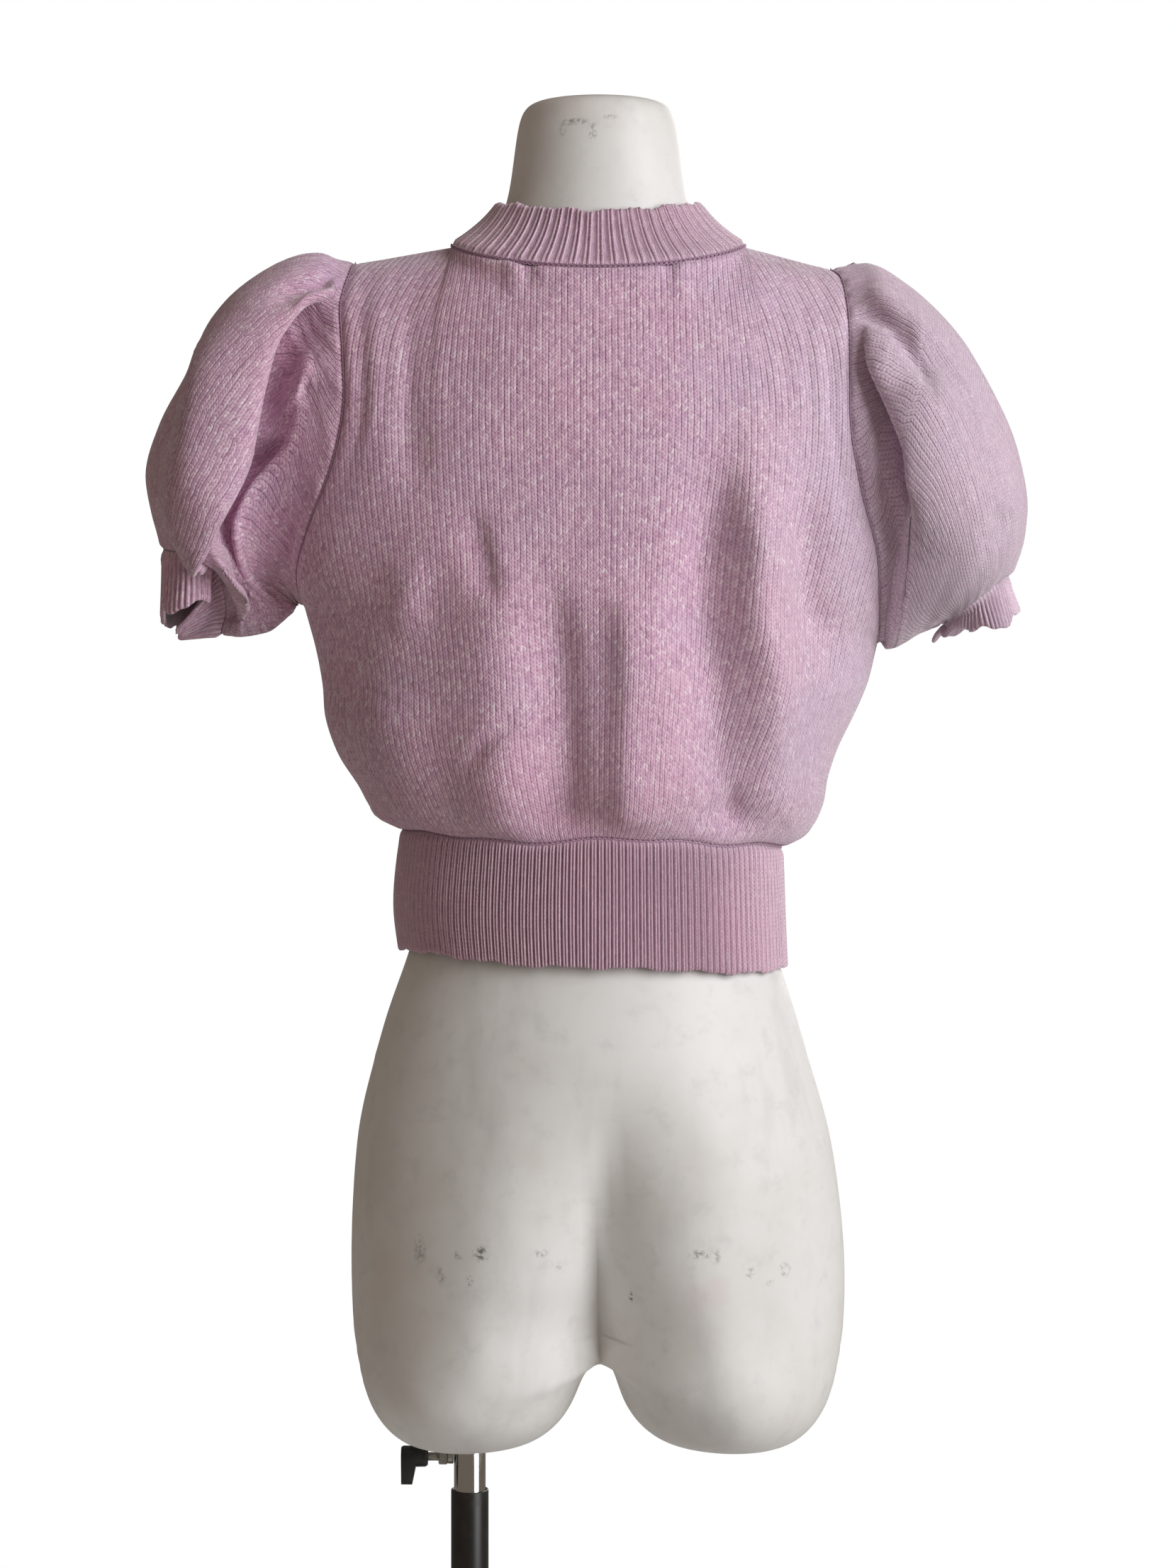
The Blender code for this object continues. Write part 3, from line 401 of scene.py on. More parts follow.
# %% Folds of the sleeves
SLEEVE_FOLDS = dict(
    left=dict(
        back=(
            fold(-36, 17, 36, 0.35, 0.6, (-184, 1056), (-207, 1036), (-219, 1004), (-226, 975), (-230, 945),
                 (-233, 915), (-236, 888), (-238, 866)),
            lap(-1, 17, 22, 10, 0.6, 0.7, (-164, 1081), (-182, 1076), (-198, 1068), (-212, 1055),
                (-223, 1038), (-231, 1012), (-236, 990), (-242, 963), (-249, 938), (-256, 918), (-263, 896)),
            fold(5, 3, 3, 0.6, 0.2, (-167, 1090), (-185, 1084), (-203, 1075), (-219, 1061)),
            fold(-10, 2.5, 2.5, 0.3, 0.1, (-174, 1091), (-188, 1087), (-205, 1078), (-220, 1065)),
            fold(-18, 26, 24, 0.0, 0.6, (-212, 985), (-214, 950), (-213, 915), (-210, 885)),
            fold(9, 7, 10, 0.7, 0.0, (-168, 1055), (-185, 1034), (-199, 1010), (-209, 990)),
            fold(-5, 6, 6, 0.6, 0.0, (-166, 1041), (-176, 1024), (-188, 998)),
            fold(-9, 13, 13, 0.2, 0.4, (-186, 1004), (-194, 970), (-195, 935), (-190, 895)),
            fold(9, 15, 11, 0.1, 0.3, (-232, 1058), (-250, 1028), (-258, 995), (-262, 962), (-262, 930),
                 (-259, 905)),
            fold(-5, 7, 7, 0.2, 0.2, (-258, 1040), (-276, 1000), (-286, 962)),
            fold(-3, 4, 5, 0.1, 0.8, (-287, 945), (-284, 925), (-281, 912)),
        ),
        front=(
            fold(-13, 18, 24, 0.3, 0.4, (-180, 1062), (-212, 1030), (-230, 970), (-248, 910)),
            fold(8, 18, 18, 0.3, 0.2, (-176, 1040), (-200, 990), (-214, 930)),
        ),
    ),
    right=dict(
        back=(
            fold(-15, 8, 12, 0.6, 0.3, (166, 1054), (171, 1030), (182, 1000), (191, 972), (193, 941),
                 (189, 909), (185, 880)),
            lap(1, 7, 10, 9, 0.5, 0.0, (172, 1054), (180, 1030), (194, 995), (203, 967), (205, 941),
                (204, 918)),
            fold(4, 6, 7, 0.4, 0.3, (168, 1024), (173, 992), (179, 962), (180, 926), (177, 896)),
            fold(-7, 5, 6, 0.8, 0.0, (162, 1067), (184, 1060), (197, 1046), (210, 1022), (222, 994)),
            fold(5, 6, 7, 0.7, 0.0, (165, 1055), (179, 1047), (188, 1027), (194, 1003)),
            fold(4, 9, 10, 0.5, 0.0, (163, 1078), (188, 1071), (206, 1054), (222, 1026)),
            fold(-4, 8, 9, 0.3, 0.1, (206, 1045), (233, 1012), (252, 985)),
            fold(-3.5, 7, 8, 0.2, 0.1, (230, 1052), (254, 1013), (266, 975)),
            fold(9, 14, 26, 0.2, 0.2, (208, 1030), (213, 1000), (215, 958), (211, 925), (206, 895)),
            fold(-3, 8, 8, 0.1, 0.4, (268, 935), (262, 916), (258, 902)),
        ),
        front=(
            fold(-12, 18, 18, 0.3, 0.3, (184, 1050), (200, 1000), (206, 930), (200, 878)),
            fold(7, 18, 20, 0.3, 0.2, (200, 1066), (228, 1012), (238, 940)),
        ),
    ),
)
print("folds:", {side: len(folds["back"]) for side, folds in SLEEVE_FOLDS.items()}, "on the sleeves")

# %% [markdown]
# ## Moving cloth by its folds
#
# A fold's height falls off to each side like a bell, so neighbouring folds blend. Each point looks
# for the nearest place on a fold's path and moves along the cloth's own outward direction there. A
# displacement picture could only do this straight outwards, and it couldn't slide cloth over cloth.

# %% Folds applied
PATH_STEPS = 10  # between two points of a fold's line
BELL_REACH, LAP_REACH = 3.2, 4  # how far a bell goes, in widths, and how many widths a lap counts as
END_SHARE = 0.3  # how much of its line a fold takes to fade in or out
SLIDE_GAIN, LAP_STEEP, LAP_FADE = 2.33, 1.4, 3.2


def fold_path(line):
    """A smooth path through a fold's points."""
    corners = np.arange(len(line), dtype=float)
    at = np.linspace(0, len(line) - 1, PATH_STEPS * (len(line) - 1) + 1)
    return np.stack([curve(corners, line[:, 0], at), curve(corners, line[:, 1], at)], -1)


def creased(points, out, folds, strength):
    """Points (n, 3) moved by their folds, along their outward directions and, at a lap, sideways."""
    moved = np.zeros_like(points)
    for one in folds:
        path = fold_path(one["line"])
        reach = BELL_REACH * max(one.get("left", 0), one.get("right", 0), LAP_REACH * one.get("width", 0))
        low, high = path.min(0) - reach, path.max(0) + reach
        near = np.flatnonzero(((points[:, ::2] > low) & (points[:, ::2] < high)).all(1) & (strength > 0))
        if not len(near):
            continue
        offset = points[near, None, ::2] - path
        far = np.linalg.norm(offset, axis=-1)
        nearest = far.argmin(-1)
        heading = unit(np.gradient(path, axis=0))[nearest]
        away = np.take_along_axis(offset, nearest[:, None, None], 1)[:, 0]
        side = np.sign(heading[:, 0] * away[:, 1] - heading[:, 1] * away[:, 0])
        share = nearest / (len(path) - 1)
        ends = one["start"] + (1 - one["start"]) * ease(share, 0, END_SHARE)
        ends *= one["end"] + (1 - one["end"]) * ease(1 - share, 0, END_SHARE)
        ends *= strength[near]
        far = far.min(-1)
        if "over" not in one:
            width = np.where(side > 0, one["right"], one["left"])
            lift = one["depth"] * np.exp(-((far / width) ** 2))
            moved[near] += out[near] * (lift * ends)[:, None]
            continue
        signed = side * far / one["width"]
        slide = -one["slide"] * SLIDE_GAIN * signed * np.exp(-(signed**2))
        lift = one["over"] * one["height"] * np.tanh(LAP_STEEP * signed)
        lift = lift * np.exp(-np.abs(signed) / LAP_FADE)
        across = np.stack([-heading[:, 1], np.zeros(len(near)), heading[:, 0]], -1)
        across = unit(across - out[near] * (across * out[near]).sum(-1, keepdims=True))
        moved[near] += out[near] * (lift * ends)[:, None] + across * (slide * ends)[:, None]
    return points + moved


print("longest fold:", round(max(travelled(one["line"])[-1] for one in BACK_FOLDS)), "mm")

# %% [markdown]
# ## The panels
#
# The back and the front are flat pieces of jersey that were sewn together at the sides and the
# shoulders. Their wales, the columns of stitches, run straight up and end where the armhole cuts
# them. So each row of points is measured off from the middle by wales, and what lies past the seam
# is drawn onto it.

# %% Rows up to the underarm
HEM_WAVES = ((1.7, 8.3, 0.8), (1.1, 19, 2))  # how high, how often and from where the hem's seam waves


def level(heights, spread):
    """A height that changes from the middle to each side as an ellipse's own bow does."""
    edge = np.where(spread < 0, heights["left"], heights["right"])
    return heights["middle"] + (edge - heights["middle"]) * (1 - np.cos(spread * math.pi / 2))


def arc_row(spread, left, middle, right, wrap):
    """Points from the left edge over the middle to the right edge, bowed like part of an ellipse."""
    turn = np.radians(wrap)
    reach = np.abs(spread)
    out = np.sin(reach * turn) / np.sin(turn)
    bow = (1 - np.cos(reach * turn)) / (1 - np.cos(turn))
    edge = np.where((spread < 0)[:, None], left, right) - middle
    return middle + edge * np.stack([out, bow, bow], -1)


def body_row(facing, rise, spread):
    """A row between the hem seam and the underarm."""
    depth = read(BODY, "back" if facing < 0 else "front", rise) * facing
    row = arc_row(spread, np.array([-read(BODY, "left", rise), 0, 0]), np.array([0, depth, 0]),
                  np.array([read(BODY, "right", rise), 0, 0]), 90)
    drawn = sum(high * np.sin(spread * often + start) for high, often, start in HEM_WAVES)
    drawn = drawn * (1 - spread**2)
    low, high = level(SEAM_Z, spread) + drawn, level(UNDERARM_Z, spread)
    row[:, 2] = low + rise * (high - low)
    return row


print("the hem's row is", round(travelled(body_row(-1, 0, np.linspace(-1, 1, 99)))[-1]), "mm long")

# %% Rows from the underarm to the top
NECK_SHARE = 0.6  # how much of the top row is neckline, and the rest is the shoulder's seams
NECK_OUT, NECK_SIDE_Y, NECK_SIDE_Z = 99, -16, 1110  # where the neckline meets the shoulder's seam
NECK_ROUND_Y, NECK_ROUND_Z = 0.8, 1.3  # how square the neckline's curve is, in plan and in height
TOP_FROM, TOP_BEND = 0.45, 1.5  # where rows begin to take the top row's shape, and how suddenly


def arm_point(side, angle, facing):
    """Points of an armhole's seam, on the back or the front."""
    rows = ARMHOLE[side]
    deep = read(rows, "depth", angle) * np.where(facing < 0, 1, ARM_FRONT_SHARE)
    y = SHOULDER_Y * (1 + np.cos(np.radians(angle))) / 2 + facing * deep
    out = read(rows, "out", angle)
    return np.stack([-out if side == "left" else out, y, read(rows, "height", angle)], -1)


def top_row(facing, spread):
    """The shoulder seams and the neckline between them."""
    middle = MIDDLE["back" if facing < 0 else "front"]
    depth, height = facing * middle["depth"][-1], middle["height"][-1]
    hand, reach = np.where(spread < 0, -1.0, 1.0), np.abs(spread)
    turn = np.radians(90 * np.minimum(reach / NECK_SHARE, 1))
    inwards = np.maximum(np.cos(turn), 0)
    neck = np.stack([hand * NECK_OUT * np.sin(turn),
                     NECK_SIDE_Y + (depth - NECK_SIDE_Y) * inwards**NECK_ROUND_Y,
                     NECK_SIDE_Z + (height - NECK_SIDE_Z) * inwards**NECK_ROUND_Z], -1)
    one = np.ones(len(hand))
    corner = np.stack([hand * NECK_OUT, one * NECK_SIDE_Y, one * NECK_SIDE_Z], -1)
    left, right = (arm_point(side, 0.0, facing) for side in ("left", "right"))
    tips = np.where((spread < 0)[:, None], left, right)
    share = np.maximum(reach - NECK_SHARE, 0)[:, None] / (1 - NECK_SHARE)
    return np.where((reach <= NECK_SHARE)[:, None], neck, corner + (tips - corner) * share)


def panel_row(facing, place, spread):
    """A panel's row: place is 0 to 1 up to the underarm and 1 to 2 from there to the top."""
    if place <= 1:
        return body_row(facing, place, spread)
    share = place - 1
    middle = MIDDLE["back" if facing < 0 else "front"]
    angle = 180 * (1 - share)
    centre = np.array([0, facing * read(middle, "depth", share), read(middle, "height", share)])
    row = arc_row(spread, arm_point("left", angle, facing), centre,
                  arm_point("right", angle, facing), read(middle, "wrap", share))
    peak = np.array([0, facing * middle["depth"][-1], middle["height"][-1]])
    plain = arc_row(spread, arm_point("left", 0.0, facing), peak,
                    arm_point("right", 0.0, facing), middle["wrap"][-1])
    return row + (top_row(facing, spread) - plain) * ease(share, TOP_FROM, 1) ** TOP_BEND


print("the top row is", round(travelled(panel_row(-1, 2, np.linspace(-1, 1, 99)))[-1]), "mm long")

# %% [markdown]
# ## Columns that follow the wales
#
# Four columns of points make one wale: a sunk one between stitches and three over its two legs. A
# panel keeps the same number of wales all the way up, and the armhole simply ends the outer ones.
# Columns that reach past the seam are therefore drawn onto it and merged later.

# %% Columns that follow the wales
WALES = 60  # to each side of the middle
WALE_COLUMNS = 4
MIDDLE_DENSER = 0.08
TOP_PITCH = 4.1  # a wale's width at the top of a panel
BODY_ROWS, ARM_ROWS = 40, 76
LOW_ROWS_BEND = 1.2  # how much closer rows lie to the hem
EDGE_SHARES = (0.988, 0.994)
DENSE, WIDENED = 401, 0.6
SNAP = 0.45  # columns closer to a seam than this share of their spacing are drawn onto it


def wale_reach(wales, half_length):
    """How far from the middle so many wales reach, a little closer together at the middle."""
    share = wales / WALES
    return half_length * share * (1 + MIDDLE_DENSER * (share * share - 1))


def panel_grid(facing):
    """A panel's points, how far each is from the side seam, and the wale at each column."""
    dense = np.linspace(-1, 1, DENSE)
    wales = np.arange(-WALES * WALE_COLUMNS, WALES * WALE_COLUMNS + 1) / WALE_COLUMNS
    places = np.concatenate([
        np.linspace(0, 1, BODY_ROWS, endpoint=False) ** LOW_ROWS_BEND,
        np.linspace(1, 2, ARM_ROWS, endpoint=False), 1 + np.array(EDGE_SHARES), [2],
    ])
    top_half = TOP_PITCH * WALES / (1 - MIDDLE_DENSER)
    rows, edges, widths = [], [], None
    for place in np.unique(places):
        length = travelled(panel_row(facing, place, dense))
        from_middle = length - length[DENSE // 2]
        halves = np.array([-from_middle[0], from_middle[-1]])
        if place <= 1:
            widths = halves
        full = widths + (np.maximum(top_half, halves) - widths) * ease(place - 1, 0, WIDENED)
        reach = np.where(wales < 0, -wale_reach(-wales, full[0]), wale_reach(wales, full[1]))
        spacing = full.mean() / (WALES * WALE_COLUMNS)
        reach = np.where(reach < -halves[0] + SNAP * spacing, -halves[0], reach)
        reach = np.where(reach > halves[1] - SNAP * spacing, halves[1], reach)
        rows.append(panel_row(facing, place, np.interp(reach, from_middle, dense)))
        edges.append(np.minimum(reach + halves[0], halves[1] - reach))
    grid, edges = np.array(rows), np.array(edges)
    if facing > 0:
        grid, edges, wales = grid[:, ::-1], edges[:, ::-1], wales[::-1]
    return grid, edges, wales


print("a panel has", 2 * WALES * WALE_COLUMNS + 1, "columns")

# %% [markdown]
# ## From a grid to closed cloth
#
# A sheet with no thickness would look like paper at its edges, so each piece is a wall: an outer
# layer with the wales in relief, a plain inner layer, and rims between them. The relief is low, a
# fraction of a millimetre, and it is in the mesh itself.


# %% Directions and relief
ACROSS = 3  # columns to each side over which a direction is taken
WALE_RELIEF = np.array([-0.34, 0.14, 0.0, 0.14])  # over a wale's four columns
UNDULATION = ((0.55, 0.031, 0.017, 0.4), (0.4, -0.022, 0.037, 1.9), (0.35, 0.058, -0.021, 4.1),
              (0.22, 0.083, 0.061, 2.3), (0.2, -0.097, 0.049, 5.2))
UNDULATION_DEEP = 0.03
SEAM_DRAW, SEAM_WIDE = -0.9, 1.9  # cloth sinks at a seam
SEAM_SWELL, SWELL_AT, SWELL_WIDE = 0.3, 6, 3  # and swells a little beside it


def normals(grid, closed):
    """Outward directions, taken over a few columns so that drawn-in ones have some too."""
    if closed:
        sideways = np.roll(grid, -ACROSS, 1) - np.roll(grid, ACROSS, 1)
    else:
        padded = np.pad(grid, ((0, 0), (ACROSS, ACROSS), (0, 0)), mode="edge")
        sideways = padded[:, 2 * ACROSS:] - padded[:, :-2 * ACROSS]
    return unit(np.cross(sideways, np.gradient(grid, axis=0)))


def climbed(grid):
    """How far up its own column each point is."""
    column_steps = np.linalg.norm(np.diff(grid, axis=0), axis=2)
    return np.concatenate([np.zeros((1, grid.shape[1])), np.cumsum(column_steps, 0)])


def undulation(points):
    """The low, soft unevenness of cloth that has been worn."""
    x, y, z = np.moveaxis(points, -1, 0)
    return sum(high * np.sin(x * along + z * up + y * UNDULATION_DEEP + start)
               for high, along, up, start in UNDULATION)


def seam_roll(distance):
    """How far cloth draws in where it is sewn, by the distance from the seam."""
    sunk = SEAM_DRAW * np.exp(-((distance / SEAM_WIDE) ** 2))
    return sunk + SEAM_SWELL * np.exp(-(((distance - SWELL_AT) / SWELL_WIDE) ** 2))


print("cloth at a seam:", float(seam_roll(0)), "mm, and beside it:", round(float(seam_roll(SWELL_AT)), 2))

# %% [markdown]
# ## A closed wall
#
# A wall is built from two grids of points, the outer with all its columns and the plain inner one
# with one column in four, which saves most of its faces where nobody looks. Rims of many-sided faces
# join them. The mesh carries its own map: wales across and courses up, for the yarn to follow.


# %% Faces of a wall
def grid_faces(rows, first, wide, turns, flip):
    """The faces of a grid whose points start at first, so many columns wide."""
    r, c = np.meshgrid(np.arange(rows - 1), np.arange(turns), indexing="ij")
    d = (c + 1) % wide
    corners = [r * wide + c, r * wide + d, (r + 1) * wide + d, (r + 1) * wide + c]
    if flip:
        corners = corners[::-1]
    return (np.stack(corners, -1).reshape(-1, 4) + first).tolist()


def wall_faces(rows, columns, inner_columns, closed):
    """The faces of the outer layer, the inner layer and the rims between them."""
    spans = inner_columns if closed else inner_columns - 1
    each = columns // inner_columns if closed else (columns - 1) // spans
    count = rows * columns
    faces = grid_faces(rows, 0, columns, spans * each, False)
    faces += grid_faces(rows, count, inner_columns, spans, True)
    for row, order in ((0, 1), (rows - 1, -1)):
        for c in range(spans):
            rim = [row * columns + (each * c + step) % columns for step in range(each + 1)]
            base = count + row * inner_columns
            ends = [base + (c + 1) % inner_columns, base + c]
            faces.append((rim + ends)[::-order])
    if not closed:
        for c, i, order in ((0, 0, 1), (columns - 1, inner_columns - 1, -1)):
            for r in range(rows - 1):
                near, far = count + r * inner_columns + i, count + (r + 1) * inner_columns + i
                faces.append([r * columns + c, (r + 1) * columns + c, far, near][::order])
    return faces, each


print("a wall of 3 x 5 points has", len(wall_faces(3, 5, 2, False)[0]), "faces")


# %% A piece of cloth from two grids
MERGE_DISTANCE = 2e-6  # in metres


def unwrapped(at, mesh, uv_u):
    """Where a face spans the join of a tube, its low corners get one whole turn more."""
    turn = (uv_u[0, 1] - uv_u[0, 0]) * uv_u.shape[1]
    starts = np.array([p.loop_start for p in mesh.polygons])
    totals = np.array([p.loop_total for p in mesh.polygons])
    owner = np.repeat(np.arange(len(starts)), totals)
    highest = np.maximum.reduceat(at[:, 0], starts)[owner]
    at[:, 0] += np.where(highest - at[:, 0] > turn / 2, turn, 0)
    return at


def welded(mesh):
    """Merges the columns that were drawn onto the seam."""
    bm = bmesh.new()
    bm.from_mesh(mesh)
    bmesh.ops.remove_doubles(bm, verts=bm.verts, dist=MERGE_DISTANCE)
    bm.to_mesh(mesh)
    bm.free()


def shell_object(name, outer, inner, closed, uv_u, uv_v):
    """A piece of cloth with a thickness: several outer columns to each inner one."""
    rows, columns = outer.shape[:2]
    inner_columns = inner.shape[1]
    faces, each = wall_faces(rows, columns, inner_columns, closed)
    points = np.concatenate([outer.reshape(-1, 3), inner.reshape(-1, 3)]) * MM
    mesh = bpy.data.meshes.new(name)
    mesh.from_pydata(points.tolist(), [], faces)
    uv = np.concatenate([
        np.stack([uv_u, uv_v], -1).reshape(-1, 2),
        np.stack([uv_u[:, ::each], uv_v[:, ::each]], -1)[:, :inner_columns].reshape(-1, 2),
    ])
    loops = np.empty(len(mesh.loops), int)
    mesh.loops.foreach_get("vertex_index", loops)
    at = uv[loops]
    if closed:
        at = unwrapped(at, mesh, uv_u)
    mesh.uv_layers.new(name="yarn").data.foreach_set("uv", at.ravel())
    if not closed:
        welded(mesh)
    mesh.shade_smooth()
    print(name, "has", sum(len(p.vertices) - 2 for p in mesh.polygons), "triangles")
    return linked(name, mesh)


# %% [markdown]
# ## The back and the front
#
# The back is the face of this piece, and its folds were drawn one by one. The front is guessed: its
# folds are plain ones of the same size. Both are evened out over the shoulder blades first, because
# knit cloth doesn't follow the small changes between a table's rows.

# %% The two panels
COURSE = 2.7  # a stitch's height
SOFT_REACH, SOFT_TIMES = 14, 30
SOFT_EDGE, SOFT_FROM, SOFT_FULL = 30, 230, 310  # where evening out fades in, from an edge and the hem
SIDE_FADE, HEM_FADE, FLAT_SEAM, RELIEF_FADE = 55, 20, 20, 3
INNER_DRAW = 0.6  # how much of the outer layer's seam roll the inner one follows


def softened(grid, share):
    """A panel whose depth is evened out by a share that is 0 at its edges."""
    depth = grid[..., 1].copy()
    for _ in range(SOFT_TIMES):
        wide = np.pad(depth, ((1, 1), (SOFT_REACH, SOFT_REACH)), mode="edge")
        middle = wide[:-2, SOFT_REACH:-SOFT_REACH] + wide[2:, SOFT_REACH:-SOFT_REACH]
        middle = (middle + wide[1:-1, :-2 * SOFT_REACH] + wide[1:-1, 2 * SOFT_REACH:]) / 4
        depth += (middle - depth) * share
    return np.stack([grid[..., 0], depth, grid[..., 2]], -1)


def panel(name, grid, edges, wales, folds):
    """A panel with its folds, its relief and its drawn-in seams."""
    out = normals(grid, False)
    height = travelled(grid[:, len(wales) // 2])
    upper = ease(height, SOFT_FROM, SOFT_FULL) * ease(height[-1] - height, 0, SOFT_EDGE)
    grid = softened(grid, ease(edges, 0, SOFT_EDGE) * upper[:, None])
    strength = ease(height, 0, HEM_FADE)[:, None] * ease(edges, 0, SIDE_FADE)
    flat = creased(grid.reshape(-1, 3), out.reshape(-1, 3), folds, strength.ravel()).reshape(grid.shape)
    out = normals(flat, False)
    from_hem = climbed(flat)
    seam = np.minimum(np.minimum(edges, from_hem[-1] - from_hem), from_hem)
    relief = WALE_RELIEF[(np.arange(len(wales)) - len(wales) // 2) % WALE_COLUMNS]
    lift = undulation(flat) * ease(seam, 0, FLAT_SEAM) + seam_roll(seam)
    lift = lift + relief * ease(seam, 0, RELIEF_FADE)
    outer = flat + out * lift[..., None]
    inner = (flat - out * WALL + out * seam_roll(seam)[..., None] * INNER_DRAW)[:, ::WALE_COLUMNS]
    for points in (outer, inner):
        points[0] += unit(points[1] - points[0]) * SEAM_GAP / 2
        points[-1] += unit(points[-2] - points[-1]) * SEAM_GAP / 2
    return shell_object(name, outer, inner, False, np.tile(wales, (len(grid), 1)), from_hem / COURSE)


back_piece = panel("back_panel_cloth", *panel_grid(-1), BACK_FOLDS)
front_piece = panel("front_panel_cloth", *panel_grid(1), FRONT_FOLDS)

# %% [markdown]
# ## Rings at the seams
#
# A sleeve or a band starts from the seam it is sewn to, so it needs the seam's points and the way
# the panel faces there. Both are read from the panels' own formula, since the finished panels have
# folds and relief that would roughen the ring.


# %% Seam rings
RING_POINTS, LEVEL_BLUR, ARMHOLE_BLUR = 801, 12, 10
ABOVE_HEM, BELOW_NECK = 0.02, 1.97  # rows just inside the panel from its hem and its neckline
NEAR_EDGE, NEAR_ROW = 0.95, 0.008  # neighbours from which an armhole's direction is taken
LOWEST, HIGHEST = 0.004, 0.99


def blurred(ring, times):
    """A ring of directions with the corners between two panels softened."""
    for _ in range(times):
        ring = (np.roll(ring, 1, 0) + ring * 2 + np.roll(ring, -1, 0)) / 4
    return unit(ring)


def between(ring, at):
    """A closed ring's values between its points."""
    low = np.floor(at).astype(int)
    share = (at - low)[:, None]
    return ring[low % len(ring)] * (1 - share) + ring[(low + 1) % len(ring)] * share


def level_ring(place, half, count, inner_place):
    """A ring once round the body: over the back from left to right, then back over the front."""
    spread = np.linspace(-half, half, RING_POINTS)

    def both(at):
        """The back's row, then the front's the other way."""
        return np.concatenate([panel_row(-1, at, spread)[:-1], panel_row(1, at, spread)[:0:-1]])

    ring, inside = both(place), both(inner_place)
    tangent = np.roll(ring, -1, 0) - np.roll(ring, 1, 0)
    up = (inside - ring) * math.copysign(1, inner_place - place)
    out = blurred(unit(np.cross(tangent, up)), LEVEL_BLUR)
    length = travelled(np.concatenate([ring, ring[:1]]))
    at = np.interp(np.arange(count) / count * length[-1], length, np.arange(len(ring) + 1))
    return between(ring, at), unit(between(out, at)), at / len(ring) * 2 * math.pi


def armhole_ring(side, turn):
    """The armhole's seam at given turns from its top over the back, and the way the panels face."""
    facing = np.where(np.sin(turn) >= 0, -1, 1)
    angle = np.degrees(np.arccos(np.clip(np.cos(turn), -1, 1)))
    points = arm_point(side, angle, facing)
    edge = float(hand_of(side))
    out = []
    for one_angle, one_facing in zip(angle, facing):
        place = 1 + min(max(1 - one_angle / 180, LOWEST), HIGHEST)
        pair = panel_row(one_facing, place, np.array([edge * NEAR_EDGE, edge]))
        rise = panel_row(one_facing, place + NEAR_ROW, np.array([edge]))[0] - pair[1]
        column = (pair[1] - pair[0]) * edge * -one_facing
        out.append(np.cross(column, rise))
    return points, blurred(unit(np.array(out)), ARMHOLE_BLUR)


def seam_ring(points, out, gap):
    """A ring beside the edge of finished cloth, a gap away."""
    tangent = unit(np.roll(points, -1, 0) - np.roll(points, 1, 0))
    return points + unit(np.cross(out, tangent)) * gap


print("the armhole's lowest point:", arm_point("left", 180.0, -1).round().tolist())

# %% [markdown]
# ## The sleeves
#
# A puff sleeve is a wide tube that is gathered into the armhole and into the cuff. It hangs in laps:
# the cloth rolls over itself under the shoulder. After the laps the columns are spaced out again
# along each row, because a lap would otherwise stretch some wales and squeeze others.

# %% The plain tube of a sleeve
SLEEVE_WALES, SLEEVE_ROWS = 150, 62
CLOSE_ROWS = (0.005, 0.01, 0.99, 0.995)
SEAM_LIFT = 3  # how far cloth goes on past a seam before it turns
TOP_BLEND, CUFF_BLEND = 0.3, 0.72  # how far the armhole's and the cuff's shapes reach in
LIFT_IN, LIFT_OUT = (0, 0.04), (0.05, 0.14)


def turned_table(rows, side, angles):
    """Points of a table of (angle, out, depth, height) at the given angles."""
    return np.stack([hand_of(side) * read(rows, "out", angles), -read(rows, "depth", angles),
                     read(rows, "height", angles)], -1)


def plain_tube(side, turn, along):
    """An ellipse at each place along the sleeve, from its outer to its inner side."""
    hand, stations, rows = hand_of(side), SLEEVE[side], []
    for share in along:
        outer, inner = (np.array([hand * read(stations, edge + "_x", share), 0,
                                  read(stations, edge + "_z", share)]) for edge in ("outer", "inner"))
        depth = np.where(np.sin(turn) > 0, read(stations, "back", share), read(stations, "front", share))
        row = (outer + inner) / 2 + (outer - inner) / 2 * np.cos(turn)[:, None]
        row[:, 1] -= depth * np.sin(turn)
        rows.append(row)
    return np.array(rows)


def joined_tube(side, turn, along, ring, away):
    """The tube drawn onto the armhole's seam at one end and onto the cuff's at the other."""
    grid = plain_tube(side, turn, along)
    share = along[:, None, None]
    grid = grid + (ring - grid[0]) * (1 - ease(share, 0, TOP_BLEND))
    cuff_seam = turned_table(CUFF_SEAM[side], side, np.degrees(turn))
    grid = grid + (cuff_seam - grid[-1]) * ease(share, CUFF_BLEND, 1)
    lifted = ease(along, *LIFT_IN) * (1 - ease(along, *LIFT_OUT))
    return grid + away * (lifted * SEAM_LIFT)[:, None, None]


print("a sleeve has", SLEEVE_WALES, "wales round")

# %% Folds, spacing and gathers of a sleeve
FACING_FADE, SEAM_FADE, CUFF_FADE, CUFF_STRENGTH = 0.35, 0.08, 0.9, 0.5
TOP_CROWDING, CROWDED_TO = 0.1, 0.8  # wales lie closer at the shoulder, down to this share
FULL_PITCH, FLATTEST = 3.2, 0.2  # the pitch at which wales stand out fully, and their least relief
GATHER_HIGH, GATHERS, GATHER_DRIFT, GATHER_STEP = 0.9, 23, 1.3, 0.07
GATHER_TOP, GATHER_CUFF, GATHER_FADE = 16, 12, 4  # how far gathers reach from each seam
UNDER_ARM, UNDER_FLATTER, UNDER_REACH = (-0.5, 0.4), 0.75, (20, 80)


